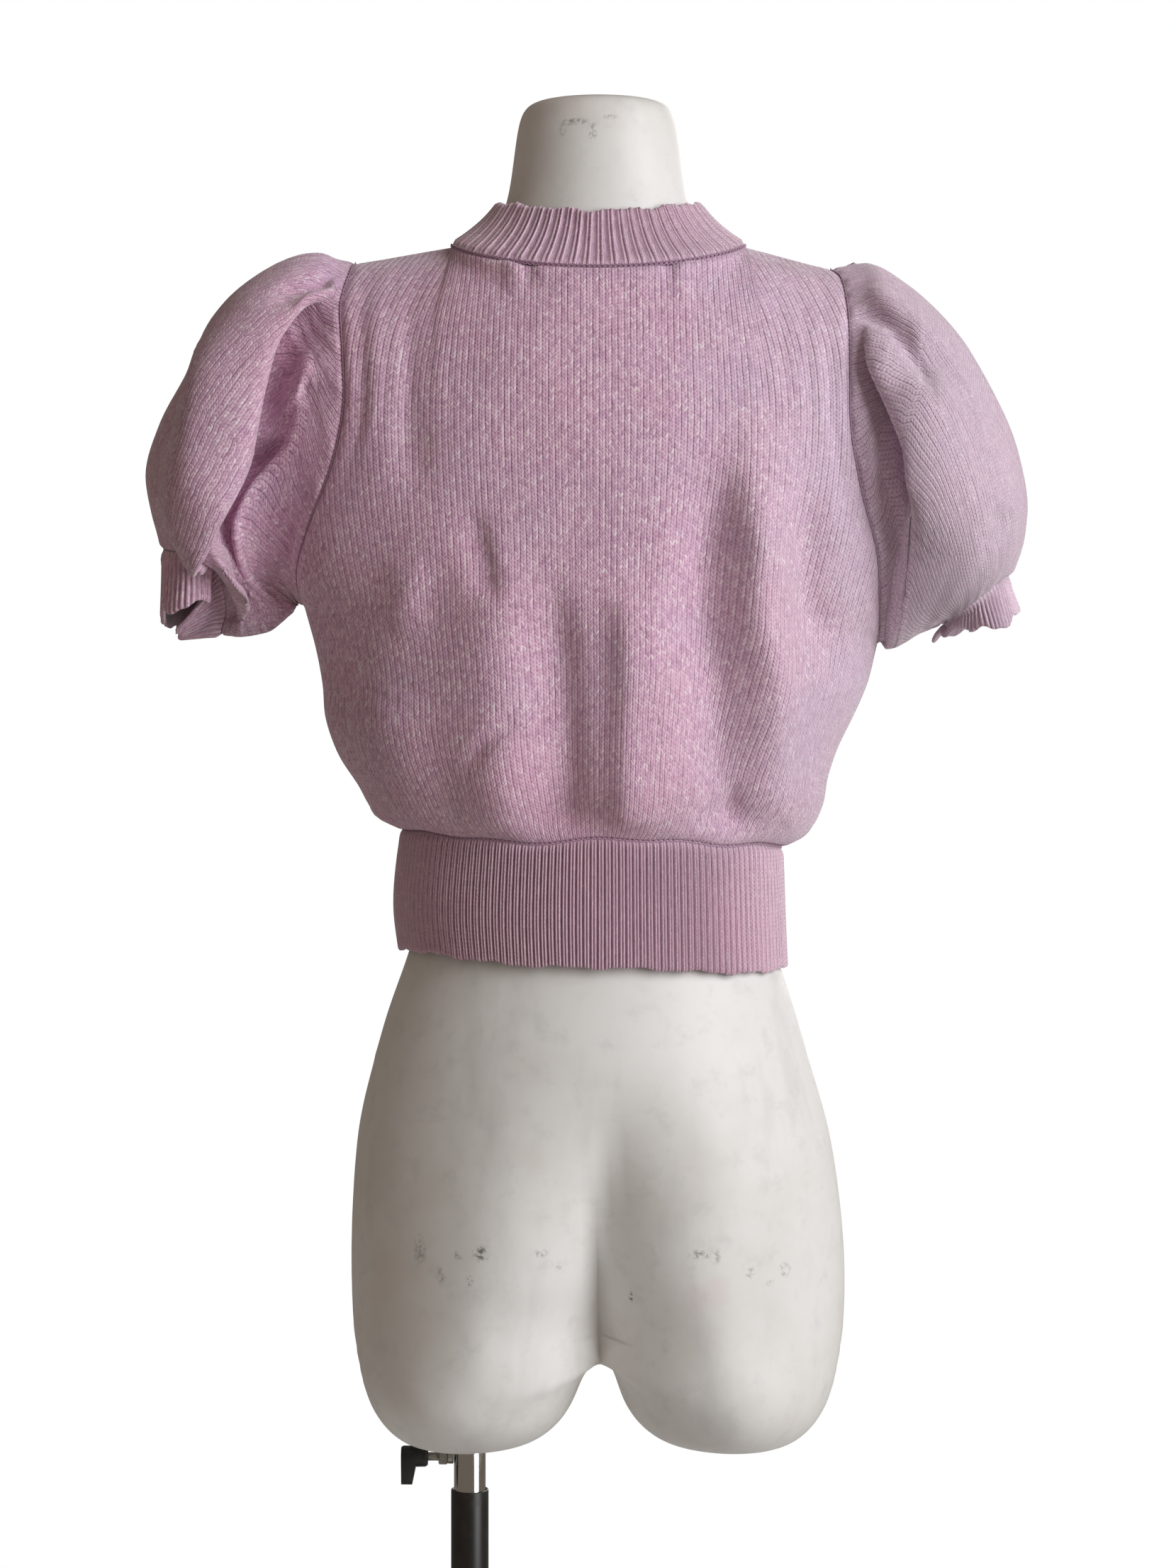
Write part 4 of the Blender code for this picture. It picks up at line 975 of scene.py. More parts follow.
def folded_tube(side, turn, along, grid):
    """The tube with its folds, which fade out at its seams and at its sides."""
    out = normals(grid, True)
    ends = (ease(along, 0, SEAM_FADE) * (1 - CUFF_STRENGTH * ease(along, CUFF_FADE, 1)))[:, None]
    for facing, folds in ((1, "back"), (-1, "front")):
        strength = (ease(facing * np.sin(turn), 0, FACING_FADE) * ends).ravel()
        moved = creased(grid.reshape(-1, 3), out.reshape(-1, 3), SLEEVE_FOLDS[side][folds], strength)
        grid = moved.reshape(grid.shape)
    return grid


def respaced(row, count, crowding):
    """Where a closed row's columns lie, evenly along it or, with some crowding, closer at its start."""
    length = travelled(np.concatenate([row, row[:1]]))
    share = np.arange(count) / count
    share = share - crowding * np.sin(share * 2 * math.pi)
    return np.interp(share * length[-1], length, np.arange(len(row) + 1))


def gathers_at(from_top):
    """Puckers beside both seams, a little uneven round the sleeve."""
    column = np.arange(from_top.shape[1])
    drift = GATHER_DRIFT * np.sin(column * GATHER_STEP)
    high = GATHER_HIGH * np.sin(column / len(column) * 2 * math.pi * GATHERS + drift)
    return high * (np.exp(-from_top / GATHER_TOP) + np.exp(-(from_top[-1] - from_top) / GATHER_CUFF))


def sleeve_relief(grid, from_top):
    """The wales' relief, lower where they are crowded and under the arm."""
    column = np.arange(grid.shape[1])
    pitch = np.linalg.norm(np.roll(grid, -1, 1) - grid, axis=2) * WALE_COLUMNS
    under = ease(-np.cos(column / len(column) * 2 * math.pi), *UNDER_ARM)
    relief = WALE_RELIEF[column % WALE_COLUMNS] * np.clip(pitch / FULL_PITCH, FLATTEST, 1)
    return relief * (1 - UNDER_FLATTER * under * (1 - ease(from_top, *UNDER_REACH)))


print("gathers:", GATHERS, "round each sleeve")


# %% Sleeves
def sleeve(side):
    """A sleeve's closed cloth, with the ring and the directions that its cuff starts from."""
    count = SLEEVE_WALES * WALE_COLUMNS
    turn = np.arange(count * 3 // 2) / (count * 3 // 2) * 2 * math.pi
    if side == "left":
        turn = (2 * math.pi - turn) % (2 * math.pi)
    ring, ring_out = armhole_ring(side, turn)
    first = seam_ring(ring, ring_out, SEAM_GAP)
    along = np.unique(np.concatenate([np.linspace(0, 1, SLEEVE_ROWS), CLOSE_ROWS]))
    grid = joined_tube(side, turn, along, ring, unit(first - ring))
    grid = folded_tube(side, turn, along, grid)
    grid[0] = first
    crowding = TOP_CROWDING * (1 - ease(along, 0, CROWDED_TO))
    places = [respaced(row, count, each) for row, each in zip(grid, crowding)]
    grid = np.array([between(row, at) for row, at in zip(grid, places)])
    out = normals(grid, True)
    out[0] = unit(between(ring_out, places[0]))
    from_top = climbed(grid)
    seam = np.minimum(from_top, from_top[-1] - from_top)
    gathers = gathers_at(from_top) * ease(seam, 0, GATHER_FADE)
    lift = undulation(grid) * ease(seam, 0, FLAT_SEAM) + seam_roll(seam)
    lift = lift + sleeve_relief(grid, from_top) * ease(seam, 0, RELIEF_FADE) + gathers
    outer = grid + out * lift[..., None]
    inner = grid + out * (gathers - WALL + seam_roll(seam) * INNER_DRAW)[..., None]
    wales = np.tile(np.arange(count) / WALE_COLUMNS, (len(grid), 1))
    piece = shell_object("sleeve_" + side + "_cloth", outer, inner[:, ::WALE_COLUMNS], True, wales,
                         from_top / COURSE)
    return piece, grid[-1], out[-1]


sleeves = {side: sleeve(side) for side in ("left", "right")}

# %% [markdown]
# ## The ribbed bands
#
# Ribbing is pairs of raised wales with a sunk purl column between them. One profile across a rib,
# repeated round the band, gives all of it. The free edges are rounded and a little wavy, as they are
# where a rib ends in a stretched edge.

# %% Rib profile
HEM_RIBS, NECK_RIBS, CUFF_RIBS = 152, 70, 72
# Shares of one rib's width: how far its wales stand from its middle, and how wide they and the
# groove between two ribs are. Heights are in millimetres.
HEM_RIB = dict(high=1.4, apart=0.22, wide=0.1, groove=-0.5, groove_wide=0.13, columns=10)
NECK_RIB = dict(high=1.5, apart=0.18, wide=0.075, groove=-0.1, groove_wide=0.2, columns=12)
CUFF_RIB = dict(high=1.1, apart=0.0, wide=0.2, groove=-0.3, groove_wide=0.18, columns=8)
PAIR_WALES, SINGLE_WALES = 4, 2
WALES_WITHIN = ((0, 0.2, 0.5, 0.8, 1), (0, 0.25, 0.5, 0.75, 1))  # where a rib's wales lie across it
RIB_TOP = 1.05


def rib_relief(phase, rib):
    """The height across one rib, whose two wales stand beside its middle."""
    wales = sum(np.exp(-(((phase - 0.5 - side * rib["apart"]) / rib["wide"]) ** 2)) for side in (-1, 1))
    groove = np.exp(-((np.minimum(phase, 1 - phase) / rib["groove_wide"]) ** 2))
    return rib["high"] * np.minimum(wales, RIB_TOP) + rib["groove"] * groove


def rib_wale(columns, rib):
    """The wale that a column is on: half of a rib's wales are raised and half are sunk."""
    each, wales = rib["columns"], PAIR_WALES if rib["apart"] else SINGLE_WALES
    phase = columns % each / each
    return (columns // each + np.interp(phase, *WALES_WITHIN)) * wales


print("ribs:", HEM_RIBS, "round the hem,", NECK_RIBS, "round the neck,", CUFF_RIBS, "round a cuff")

# %% A ribbed band from its rows
EDGE_DROP, INNER_DROP, EDGE_ROUND = 0.9, 0.5, 1.6  # how the free edge is rounded
RIB_FADE, RIB_DRAW, RIB_INNER_DRAW = 5, 0.8, 0.5
CLOSE_SHARES = (0.008, 0.02, 0.04, 0.96, 0.98, 0.992)


def ribbed(name, grid, ring_out, seam_row, rib, wave):
    """A band of ribs from its base points. wave says how far its free edge moves at each column."""
    count = grid.shape[1]
    free_row = -1 if seam_row == 0 else 0
    from_start = climbed(grid)
    length = from_start[-1].mean()
    from_seam = from_start if seam_row == 0 else from_start[-1] - from_start
    from_free = from_seam[free_row] - from_seam
    along = unit(grid[-1] - grid[0]) * (1 if seam_row == 0 else -1)
    grid = grid + along * (wave * ease(1 - from_free / length, 0, 1))[..., None]
    out = normals(grid, True)
    out[seam_row] = ring_out
    phase = np.arange(count) % rib["columns"] / rib["columns"]
    at_edge = 1 - ease(from_free, 0, EDGE_ROUND)
    lift = rib_relief(phase, rib)[None] * ease(from_seam, 0, RIB_FADE) - EDGE_DROP * at_edge
    lift = lift + seam_roll(from_seam) * RIB_DRAW
    outer = grid + out * lift[..., None]
    inner = grid - out * WALL + out * (seam_roll(from_seam) * RIB_INNER_DRAW)[..., None]
    inner = (inner + out * (INNER_DROP * at_edge)[..., None])[:, ::rib["columns"] // 2]
    wales = np.tile(rib_wale(np.arange(count), rib), (len(grid), 1))
    return shell_object(name, outer, inner, True, wales, from_start / COURSE)


def band_shares(rows):
    """Rows of a band, closer together at its two ends."""
    return np.unique(np.concatenate([np.linspace(0, 1, rows), CLOSE_SHARES]))


def waves(turn, *parts):
    """A wavy edge: each part is how high, how many times round and from where it waves."""
    return sum(high * np.sin(turn * often + start) for high, often, start in parts)


print("rows of a hem band:", len(band_shares(14)))

# %% [markdown]
# ## The hem band
#
# The band grips the form's waist, so it is nearly a straight tube with a slight tilt. Its top edge
# takes the shape of the panels' seam in height alone, and its free edge waves a little.

# %% Hem band
HEM_ROWS, HEM_BOTTOM_Z, HEM_TILT = 14, 631, 0.05
HEM_SLACK, SLACK_TIMES, SLACK_SHARE = 1.6, 9, 0.35  # how the stretched band isn't quite round
HEM_BLEND = 0.8  # from where the band takes the seam's place as well as its height


def hem_band():
    """The hem's ribbing, from its free edge up to the panels' seam."""
    count = HEM_RIBS * HEM_RIB["columns"]
    ring, ring_out, turn = level_ring(0, 1, count, ABOVE_HEM)
    top = seam_ring(ring, ring_out, -SEAM_GAP)
    across = -np.cos(turn)
    rows = []
    for up in band_shares(HEM_ROWS):
        x = np.where(across < 0, read(HEM, "left", up), read(HEM, "right", up)) * across
        y = np.where(np.sin(turn) > 0, -read(HEM, "back", up), read(HEM, "front", up))
        plain = np.stack([x, y * np.abs(np.sin(turn)), HEM_BOTTOM_Z - HEM_TILT * x], -1)
        slack = HEM_SLACK * np.sin(turn * SLACK_TIMES + 1) * np.sin(math.pi * up)
        row = plain + (top - plain) * [0, 0, up]
        row += (top - row) * [ease(up, HEM_BLEND, 1), ease(up, HEM_BLEND, 1), 0]
        rows.append(row + ring_out * [1, 1, 0] * slack[:, None] * SLACK_SHARE)
    wave = waves(turn, (0.8, 17, 0), (1.0, 5, 2), (0.5, 41, 0))
    return ribbed("hem_band_cloth", np.array(rows), ring_out, -1, HEM_RIB, wave)


hem_piece = hem_band()

# %% [markdown]
# ## The neckband
#
# The band stands up round the neck, high behind and much lower in front, and leans inwards with a
# small bulge. A straight strip bent round would gape, so it is drawn between the neck's seam and an
# upper oval.

# %% Neckband
NECK_ROWS, NECK_BULGE = 12, 3
NECK_TOP_OUT, NECK_TOP_Y, NECK_TOP_Z = 68, -10, 1139
NECK_TOP_BACK, NECK_TOP_FRONT = 50, 79
NECK_TOP_DIP_BACK, NECK_TOP_DIP_FRONT = 10, 92


def neckband():
    """The neck's ribbing, from the panels' seam up to its free edge."""
    count = NECK_RIBS * NECK_RIB["columns"]
    ring, ring_out, turn = level_ring(2, NECK_SHARE, count, BELOW_NECK)
    bottom = seam_ring(ring, ring_out, RIB_GAP)
    back, front = np.clip(np.sin(turn), 0, 1), np.clip(-np.sin(turn), 0, 1)
    dip = NECK_TOP_DIP_FRONT * (1 - np.cos(front * math.pi / 2))
    top = np.stack([-NECK_TOP_OUT * np.cos(turn),
                    NECK_TOP_Y - NECK_TOP_BACK * back + NECK_TOP_FRONT * front,
                    NECK_TOP_Z - NECK_TOP_DIP_BACK * back**2 - dip], -1)
    middle = np.array([0, NECK_TOP_Y, 0])
    rows = []
    for up in band_shares(NECK_ROWS):
        row = bottom + (top - bottom) * up
        inwards = unit((middle - row) * [1, 1, 0])
        rows.append(row + inwards * NECK_BULGE * math.sin(math.pi * up))
    wave = waves(turn, (0.9, 11, 0.6), (0.8, 19, 2), (0.5, NECK_RIBS, math.pi / 2))
    return ribbed("neckband_cloth", np.array(rows), ring_out, 0, NECK_RIB, wave)


neck_piece = neckband()


# %% [markdown]
# ## The cuffs
#
# A cuff goes on past its seam for a few millimetres before it turns down, so a share of its rows
# makes that turn. Its columns follow the sleeve's, and the drawn edge is read at the same turns.

# %% Cuffs
CUFF_ROWS, CUFF_TURN, SEAM_STEPS = 12, 0.15, 1441


def cuff_angles(side, ring, at):
    """The angle of each column, found by where the seam's table passes it."""
    angles = np.linspace(0, 360, SEAM_STEPS)
    length = travelled(turned_table(CUFF_SEAM[side], side, angles))
    here = at / len(ring) * length[-1]
    return np.interp(here if side == "right" else length[-1] - here, length, angles)


def cuff(side, ring, ring_out):
    """A cuff's ribbing, from the sleeve's gathered mouth to its free edge."""
    count = CUFF_RIBS * CUFF_RIB["columns"]
    at = np.arange(count) / count * len(ring)
    top = seam_ring(ring, ring_out, RIB_GAP)
    lifted = top + unit(top - ring) * SEAM_LIFT
    top, lifted, out = between(top, at), between(lifted, at), unit(between(ring_out, at))
    angles = cuff_angles(side, ring, at)
    edge = turned_table(CUFF_EDGE[side], side, angles)
    start = lifted + (edge - top) * CUFF_TURN
    rows = []
    for share in band_shares(CUFF_ROWS):
        if share <= CUFF_TURN:
            rows.append(top + (start - top) * (share / CUFF_TURN))
        else:
            rows.append(start + (edge - start) * ((share - CUFF_TURN) / (1 - CUFF_TURN)))
    wave = waves(np.radians(angles), (2.0, 7, 0.5), (1.0, 13, 2))
    return ribbed("cuff_" + side + "_cloth", np.array(rows), out, 0, CUFF_RIB, wave)


cuffs = {side: cuff(side, ring, out) for side, (_, ring, out) in sleeves.items()}

# %% [markdown]
# ## The dress form
#
# The form is one smooth moulded shell. The solid already has its shape, so a copy of it is merged,
# its triangles are joined back into quads, and two more levels of subdivision round it off.

# %% A smooth copy of a solid
FORM_LEVELS, QUAD_ANGLE, SAME_PLACE = 2, math.radians(40), 1e-5


def smooth_copy(node, name, levels):
    """A finer copy of a solid whose surface is smooth all over."""
    mesh = frame["nodes"][node].data.copy()
    mesh.name = name
    bm = bmesh.new()
    bm.from_mesh(mesh)
    bmesh.ops.remove_doubles(bm, verts=bm.verts, dist=SAME_PLACE)
    bmesh.ops.join_triangles(bm, faces=bm.faces, angle_face_threshold=QUAD_ANGLE,
                             angle_shape_threshold=math.pi)
    bm.to_mesh(mesh)
    bm.free()
    mesh.materials.clear()
    made = linked(name, mesh)
    smoothing = made.modifiers.new("Subdivision", "SUBSURF")
    smoothing.levels = smoothing.render_levels = levels
    mesh.shade_smooth()
    return made


def applied(piece):
    """The piece with its modifiers made part of its mesh."""
    evaluated = piece.evaluated_get(bpy.context.evaluated_depsgraph_get())
    mesh = bpy.data.meshes.new_from_object(evaluated)
    piece.modifiers.clear()
    piece.data = mesh
    return piece


form_piece = applied(smooth_copy("dress_form", "dress_form_shell", FORM_LEVELS))
print("the form has", len(form_piece.data.polygons), "faces")

# %% [markdown]
# ## The form's back
#
# Behind, the form parts into two rounds that meet in a sharp valley and run down into its stumps.
# The coarse solid only has the stumps, so each point behind is drawn in as if the back were two
# rounds side by side, less and less towards the waist. The sides are filled out a little, as folds.

# %% The form's back and sides
SPLIT = table("height middle share", (385, 0, 1.0), (430, 0, 0.91), (480, 2, 0.78), (520, 6, 0.56),
              (550, 12, 0.3), (580, 24, 0.0))
SPLIT_REACH, SPLIT_DEEP, SPLIT_SHARP, SPLIT_SOFT = 89, 0.94, 1.1, 0.03
STUMP_MIDDLE, STUMP_NEAR, STUMP_LEVELS = 85, 8, np.arange(310, 441, 10)
OWN_ROUND, SPLIT_FADE = (380, 430), (330, 350)
SIDE_RIDGES = (
    fold(3.5, 40, 40, 0.0, 0.2, (-160, 580), (-170, 500), (-172, 400), (-162, 335)),
    fold(3.5, 40, 40, 0.0, 0.2, (158, 580), (168, 500), (172, 400), (162, 335)),
)


def parted(points):
    """The form's back as two rounds side by side, which part more and more down to the split."""
    beside = np.abs(np.abs(points[:, 0]) - STUMP_MIDDLE) < STUMP_NEAR
    full = [points[beside & (np.abs(points[:, 2] - high) < STUMP_NEAR), 1].min() for high in STUMP_LEVELS]
    behind = points[:, 1] < -1
    across, own, high = points[behind].T
    middle = np.interp(high, SPLIT["height"], SPLIT["middle"])
    aside = np.minimum(np.abs(across - middle) / SPLIT_REACH, 1)
    steep = SPLIT_DEEP * (1 - aside**SPLIT_SHARP) * np.interp(high, SPLIT["height"], SPLIT["share"])
    round_share = np.sqrt(1 - steep**2)
    excess = 1 - np.interp(high, STUMP_LEVELS, full) * round_share / own
    stump_share = 1 - (excess + np.hypot(excess, SPLIT_SOFT)) / 2
    above = ease(high, *OWN_ROUND)
    changed = (above * round_share + (1 - above) * stump_share - 1) * ease(high, *SPLIT_FADE)
    moved = points.copy()
    moved[behind, 1] *= 1 + changed
    return moved


def shape_form(mesh):
    """Parts the smooth form's back and fills out its sides."""
    points, out = np.empty(len(mesh.vertices) * 3), np.empty(len(mesh.vertices) * 3)
    mesh.vertices.foreach_get("co", points)
    mesh.vertices.foreach_get("normal", out)
    points = parted(points.reshape(-1, 3) / MM)
    points = creased(points, out.reshape(-1, 3), SIDE_RIDGES, np.ones(len(points)))
    mesh.vertices.foreach_set("co", (points * MM).ravel())
    mesh.update()


shape_form(form_piece.data)
print("the form is", round(form_piece.dimensions.x / MM), "mm wide")

# %% [markdown]
# ## The stand
#
# Everything under the form is turned metal but for the clamp's hand knob. A turned piece is an
# outline of radius and height, swept round its axis. The Screw modifier could sweep it as well, but
# a short function closes the ends and the bore in one go.

# %% Turned pieces
SHARP = math.radians(35)


def turned(name, profile, at, sides=96, axis="z"):
    """A body turned from (radius, height) corners; it closes on the axis or on its own start."""
    rings = np.array(profile, float)
    ring_loop = profile[0] == profile[-1]
    if ring_loop:
        rings = rings[:-1]
    turn = np.arange(sides) * 2 * math.pi / sides
    points = np.stack([rings[:, :1] * np.cos(turn), rings[:, :1] * np.sin(turn),
                       np.repeat(rings[:, 1:], sides, 1)], -1)
    if axis == "x":
        points = points[..., [2, 0, 1]]
    points = (points.reshape(-1, 3) + np.array(at, float)) * MM
    faces, count = [], len(rings)
    for r in range(count if ring_loop else count - 1):
        here, there = r * sides, (r + 1) % count * sides
        faces += [[here + c, here + (c + 1) % sides, there + (c + 1) % sides, there + c]
                  for c in range(sides)]
    if not ring_loop:
        faces += [list(range(sides))[::-1], [(count - 1) * sides + c for c in range(sides)]]
    mesh = bpy.data.meshes.new(name)
    mesh.from_pydata(points.tolist(), [], faces)
    mesh.shade_smooth()
    mesh.set_sharp_from_angle(angle=SHARP)
    print(name, "has", len(faces), "faces")
    return linked(name, mesh)


print("a turned corner is sharp over", round(math.degrees(SHARP)), "degrees")

# %% Plate, flange and tubes
POLE_X, CLEAR = -87, 0.3  # the pole's place, and the room between pieces of the stand
TUBE_R, TUBE_WALL, TUBE_TOP_Z = 12.7, 1.7, 271
INNER_R, INNER_WALL, INNER_BOTTOM_Z, STUMP_Z = 10.7, 1.5, 150, 304
PLATE_R, PLATE_HEIGHT, PLATE_SIDES = 165, 8, 160
FLANGE_R, FLANGE_HEIGHT = 30, 6


def tube(name, radius, wall, bottom, top):
    """A tube whose upper lip is rounded."""
    inside, lip = radius - wall, wall / 3
    profile = [(radius, bottom), (radius, top - lip), (radius - lip / 3, top - lip / 3),
               (radius - lip, top), (inside + lip, top), (inside, top - lip), (inside, bottom),
               (radius, bottom)]
    return turned(name, profile, (POLE_X, 0, 0))


plate_low = PLATE_HEIGHT + CLEAR
bore = TUBE_R + CLEAR
base_piece = turned("stand_base_plate", [
    (PLATE_R - 1.5, 0), (PLATE_R - 0.4, 0.4), (PLATE_R, 1.5), (PLATE_R, PLATE_HEIGHT - 2),
    (PLATE_R - 0.6, PLATE_HEIGHT - 0.6), (PLATE_R - 2, PLATE_HEIGHT)], (0, 0, 0), PLATE_SIDES)
flange_piece = turned("stand_flange_ring", [
    (FLANGE_R, plate_low), (FLANGE_R, plate_low + 1.4), (FLANGE_R - 0.7, plate_low + 2),
    (bore + 5, plate_low + FLANGE_HEIGHT - 0.4), (bore + 4, plate_low + FLANGE_HEIGHT),
    (bore, plate_low + FLANGE_HEIGHT), (bore, plate_low), (FLANGE_R, plate_low)], (POLE_X, 0, 0))
outer_tube = tube("pole_outer_tube", TUBE_R, TUBE_WALL, plate_low, TUBE_TOP_Z)
inner_tube = tube("pole_inner_tube", INNER_R, INNER_WALL, INNER_BOTTOM_Z, STUMP_Z - CLEAR)

# %% [markdown]
# ## The hand clamp
#
# A bolt with a plastic knob goes through the outer tube and bears on the inner one, which is how the
# form's height is set. Its shank is turned, and a six-sided turning makes the nut.

# %% The clamp's bolt
BOLT_Z, BOLT_R, BOLT_SIDES, NUT_SIDES = 293, 3.1, 48, 6
NUT_LENGTH, NUT_R, TIP_LENGTH, TIP_R, SHANK = 6.1, 5.6, 4, 4.9, 7
THREAD_PITCH, THREAD_DEPTH = 1.0, 0.35
tip = -INNER_R - CLEAR
nut_start, nut_end = tip - TIP_LENGTH, tip - TIP_LENGTH - NUT_LENGTH
bolt_piece = turned("clamp_bolt_shank", [
    (BOLT_R - THREAD_DEPTH, nut_end - SHANK), (BOLT_R - THREAD_DEPTH, nut_start), (TIP_R - 0.5, nut_start),
    (TIP_R, nut_start + 0.5), (TIP_R, tip - 0.5), (TIP_R - 0.5, tip)], (POLE_X, 0, BOLT_Z), BOLT_SIDES, "x")
nut_piece = turned("clamp_nut", [
    (NUT_R - 0.7, nut_end), (NUT_R, nut_end + 0.7), (NUT_R, nut_start - 0.7), (NUT_R - 0.7, nut_start)],
    (POLE_X, 0, BOLT_Z), NUT_SIDES, "x")

# %% [markdown]
# ## Geometry Nodes from a script
#
# What repeats or follows a rule is grown by Geometry Nodes: here the chain of stitches along each
# seam and the thread of the bolt. A small class keeps the scripts for their trees short. Each tree
# has named inputs, and its result is made a plain mesh, because an export drops live modifiers.


# %% A builder for Geometry Nodes
class Tree:
    """A Geometry Nodes tree with named inputs; node() adds any node and links its sockets."""

    def __init__(self, name, **inputs):
        self.group = bpy.data.node_groups.new(name, "GeometryNodeTree")
        for label, kind in {"Geometry": "Geometry", **inputs, "Material": "Material"}.items():
            self.group.interface.new_socket(label.replace("_", " "), in_out="INPUT",
                                            socket_type="NodeSocket" + kind)
        self.group.interface.new_socket("Geometry", in_out="OUTPUT", socket_type="NodeSocketGeometry")
        self.inputs = self.group.nodes.new("NodeGroupInput").outputs

    def node(self, kind, settings=None, values=None):
        """Adds a node of a type, makes its settings, then its values or links."""
        made = self.group.nodes.new(kind)
        for label, value in (settings or {}).items():
            setattr(made, label, value)
        for label, value in (values or {}).items():
            socket = made.inputs[label]
            if isinstance(value, bpy.types.NodeSocket):
                self.group.links.new(value, socket)
            else:
                socket.default_value = value
        return made.outputs[0]

    def finish(self, geometry):
        """Realizes the instances, gives them the material and ends the tree."""
        real = self.node("GeometryNodeRealizeInstances", values={"Geometry": geometry})
        painted = self.node("GeometryNodeSetMaterial",
                            values={"Geometry": real, "Material": self.inputs["Material"]})
        end = self.group.nodes.new("NodeGroupOutput")
        self.group.links.new(painted, end.inputs[0])
        return self.group


def grown(name, source, group, values):
    """Runs a tree on a source object and keeps the result as a plain mesh piece."""
    identifiers = {item.name: item.identifier for item in group.interface.items_tree
                   if item.item_type == "SOCKET" and item.in_out == "INPUT"}
    made = linked(name, source)
    modifier = made.modifiers.new("Nodes", "NODES")
    modifier.node_group = group
    for label, value in values.items():
        modifier[identifiers[label]] = value
    evaluated = made.evaluated_get(bpy.context.evaluated_depsgraph_get())
    mesh = bpy.data.meshes.new_from_object(evaluated)
    bpy.data.objects.remove(made)
    print(name, "has", len(mesh.polygons), "faces")
    return linked(name, mesh)


def line_source(name, points, cyclic):
    """A poly curve through points in millimetres, for a tree to follow."""
    data = bpy.data.curves.new(name, "CURVE")
    data.dimensions = "3D"
    spline = data.splines.new("POLY")
    spline.points.add(len(points) - 1)
    at = np.concatenate([np.asarray(points) * MM, np.ones((len(points), 1))], 1)
    spline.points.foreach_set("co", at.ravel())
    spline.use_cyclic_u = cyclic
    return data


# %% [markdown]
# ## Finishes as expressions
#
# A finish is a recipe of values over the surface. It could be drawn by hand in the node editor, but
# a long formula is hard to read there. A small class wraps a socket instead, so that ordinary
# arithmetic adds the Math nodes, and the recipe reads like a formula. A table names the operators.


# %% Shader expressions
class Value:
    """A shader value that the usual operators work on."""

    def __init__(self, finish, socket):
        self.finish, self.socket = finish, socket

    def math(self, operation, *others):
        """A Math node of this value and others."""
        values = dict(enumerate([self, *others]))
        return self.finish.node("ShaderNodeMath", {"operation": operation}, values)

    def __rsub__(self, other):
        return self.math("MULTIPLY_ADD", -1, other)

    def above(self, low, high):
        """0 below low and 1 above high, smooth between."""
        settings = {"interpolation_type": "SMOOTHSTEP"}
        return self.finish.node("ShaderNodeMapRange", settings, {0: self, 1: low, 2: high})


def operator(operation):
    """A method that adds the Math node of one operation."""
    return lambda self, *others: self.math(operation, *others)


OPERATORS = dict(__add__="ADD", __radd__="ADD", __sub__="SUBTRACT", __mul__="MULTIPLY", __truediv__="DIVIDE",
                 __pow__="POWER", __abs__="ABSOLUTE", floor="FLOOR", fract="FRACT", sin="SINE")
for name, operation in OPERATORS.items():
    setattr(Value, name, operator(operation))
print("operators:", sorted(OPERATORS))


# %% Materials
class Finish:
    """A material on a Principled shader, and the method that adds its nodes."""

    def __init__(self, name, **constants):
        self.material = bpy.data.materials.new(name)
        self.material.use_nodes = True
        self.tree = self.material.node_tree
        self.shader = self.tree.nodes["Principled BSDF"]
        for label, value in constants.items():
            self.put(self.shader.inputs[label.replace("_", " ")], value)

    def put(self, socket, value):
        """Links a value to a socket, or sets the socket to a constant."""
        if isinstance(value, Value):
            self.tree.links.new(value.socket, socket)
        elif isinstance(value, tuple) and socket.type == "RGBA":
            socket.default_value = (*value[:3], 1)
        else:
            socket.default_value = value

    def node(self, kind, settings=None, values=None, out=0):
        """Adds a node of a type, makes its settings, then its values or links."""
        made = self.tree.nodes.new(kind)
        for label, value in (settings or {}).items():
            if label == "stops":
                ramp = made.color_ramp
                while len(ramp.elements) < len(value):
                    ramp.elements.new(0.5)
                for element, (at, stop) in zip(ramp.elements, value):
                    element.position, element.color = at, (*stop, 1)
            else:
                setattr(made, label, value)
        for label, value in (values or {}).items():
            self.put(made.inputs[label], value)
        return Value(self, made.outputs[out])

    def split(self, vector):
        """The three numbers of a vector."""
        first = self.node("ShaderNodeSeparateXYZ", values={0: vector})
        return [Value(self, socket) for socket in first.socket.node.outputs]

    def join(self, x=0.0, y=0.0, z=0.0):
        """A vector from three numbers."""
        return self.node("ShaderNodeCombineXYZ", values={0: x, 1: y, 2: z})

    def noise(self, vector, scale, detail, rough=0.5):
        """A soft random pattern from 0 to 1."""
        values = {"Vector": vector, "Scale": scale, "Detail": detail, "Roughness": rough}
        return self.node("ShaderNodeTexNoise", values=values)

    def random(self, x, y):
        """A number from 0 to 1 that is the same all over each cell."""
        settings = {"noise_dimensions": "2D"}
        return self.node("ShaderNodeTexWhiteNoise", settings, {"Vector": self.join(x, y)})

    def place(self):
        """The place in the object's own space."""
        return self.node("ShaderNodeTexCoord", out=3)

    def mix(self, share, first, second):
        """A colour between two colours."""
        return self.node("ShaderNodeMix", {"data_type": "RGBA"}, {0: share, 6: first, 7: second}, out=2)

    def bump(self, height, distance, strength):
        """Relief that is too fine for the mesh."""
        values = {"Strength": strength, "Distance": distance, "Height": height}
        self.put(self.shader.inputs["Normal"], self.node("ShaderNodeBump", values=values))

    def paint(self, **values):
        """Puts values that change over the surface into the shader."""
        for label, value in values.items():
            self.put(self.shader.inputs[label.replace("_", " ")], value)


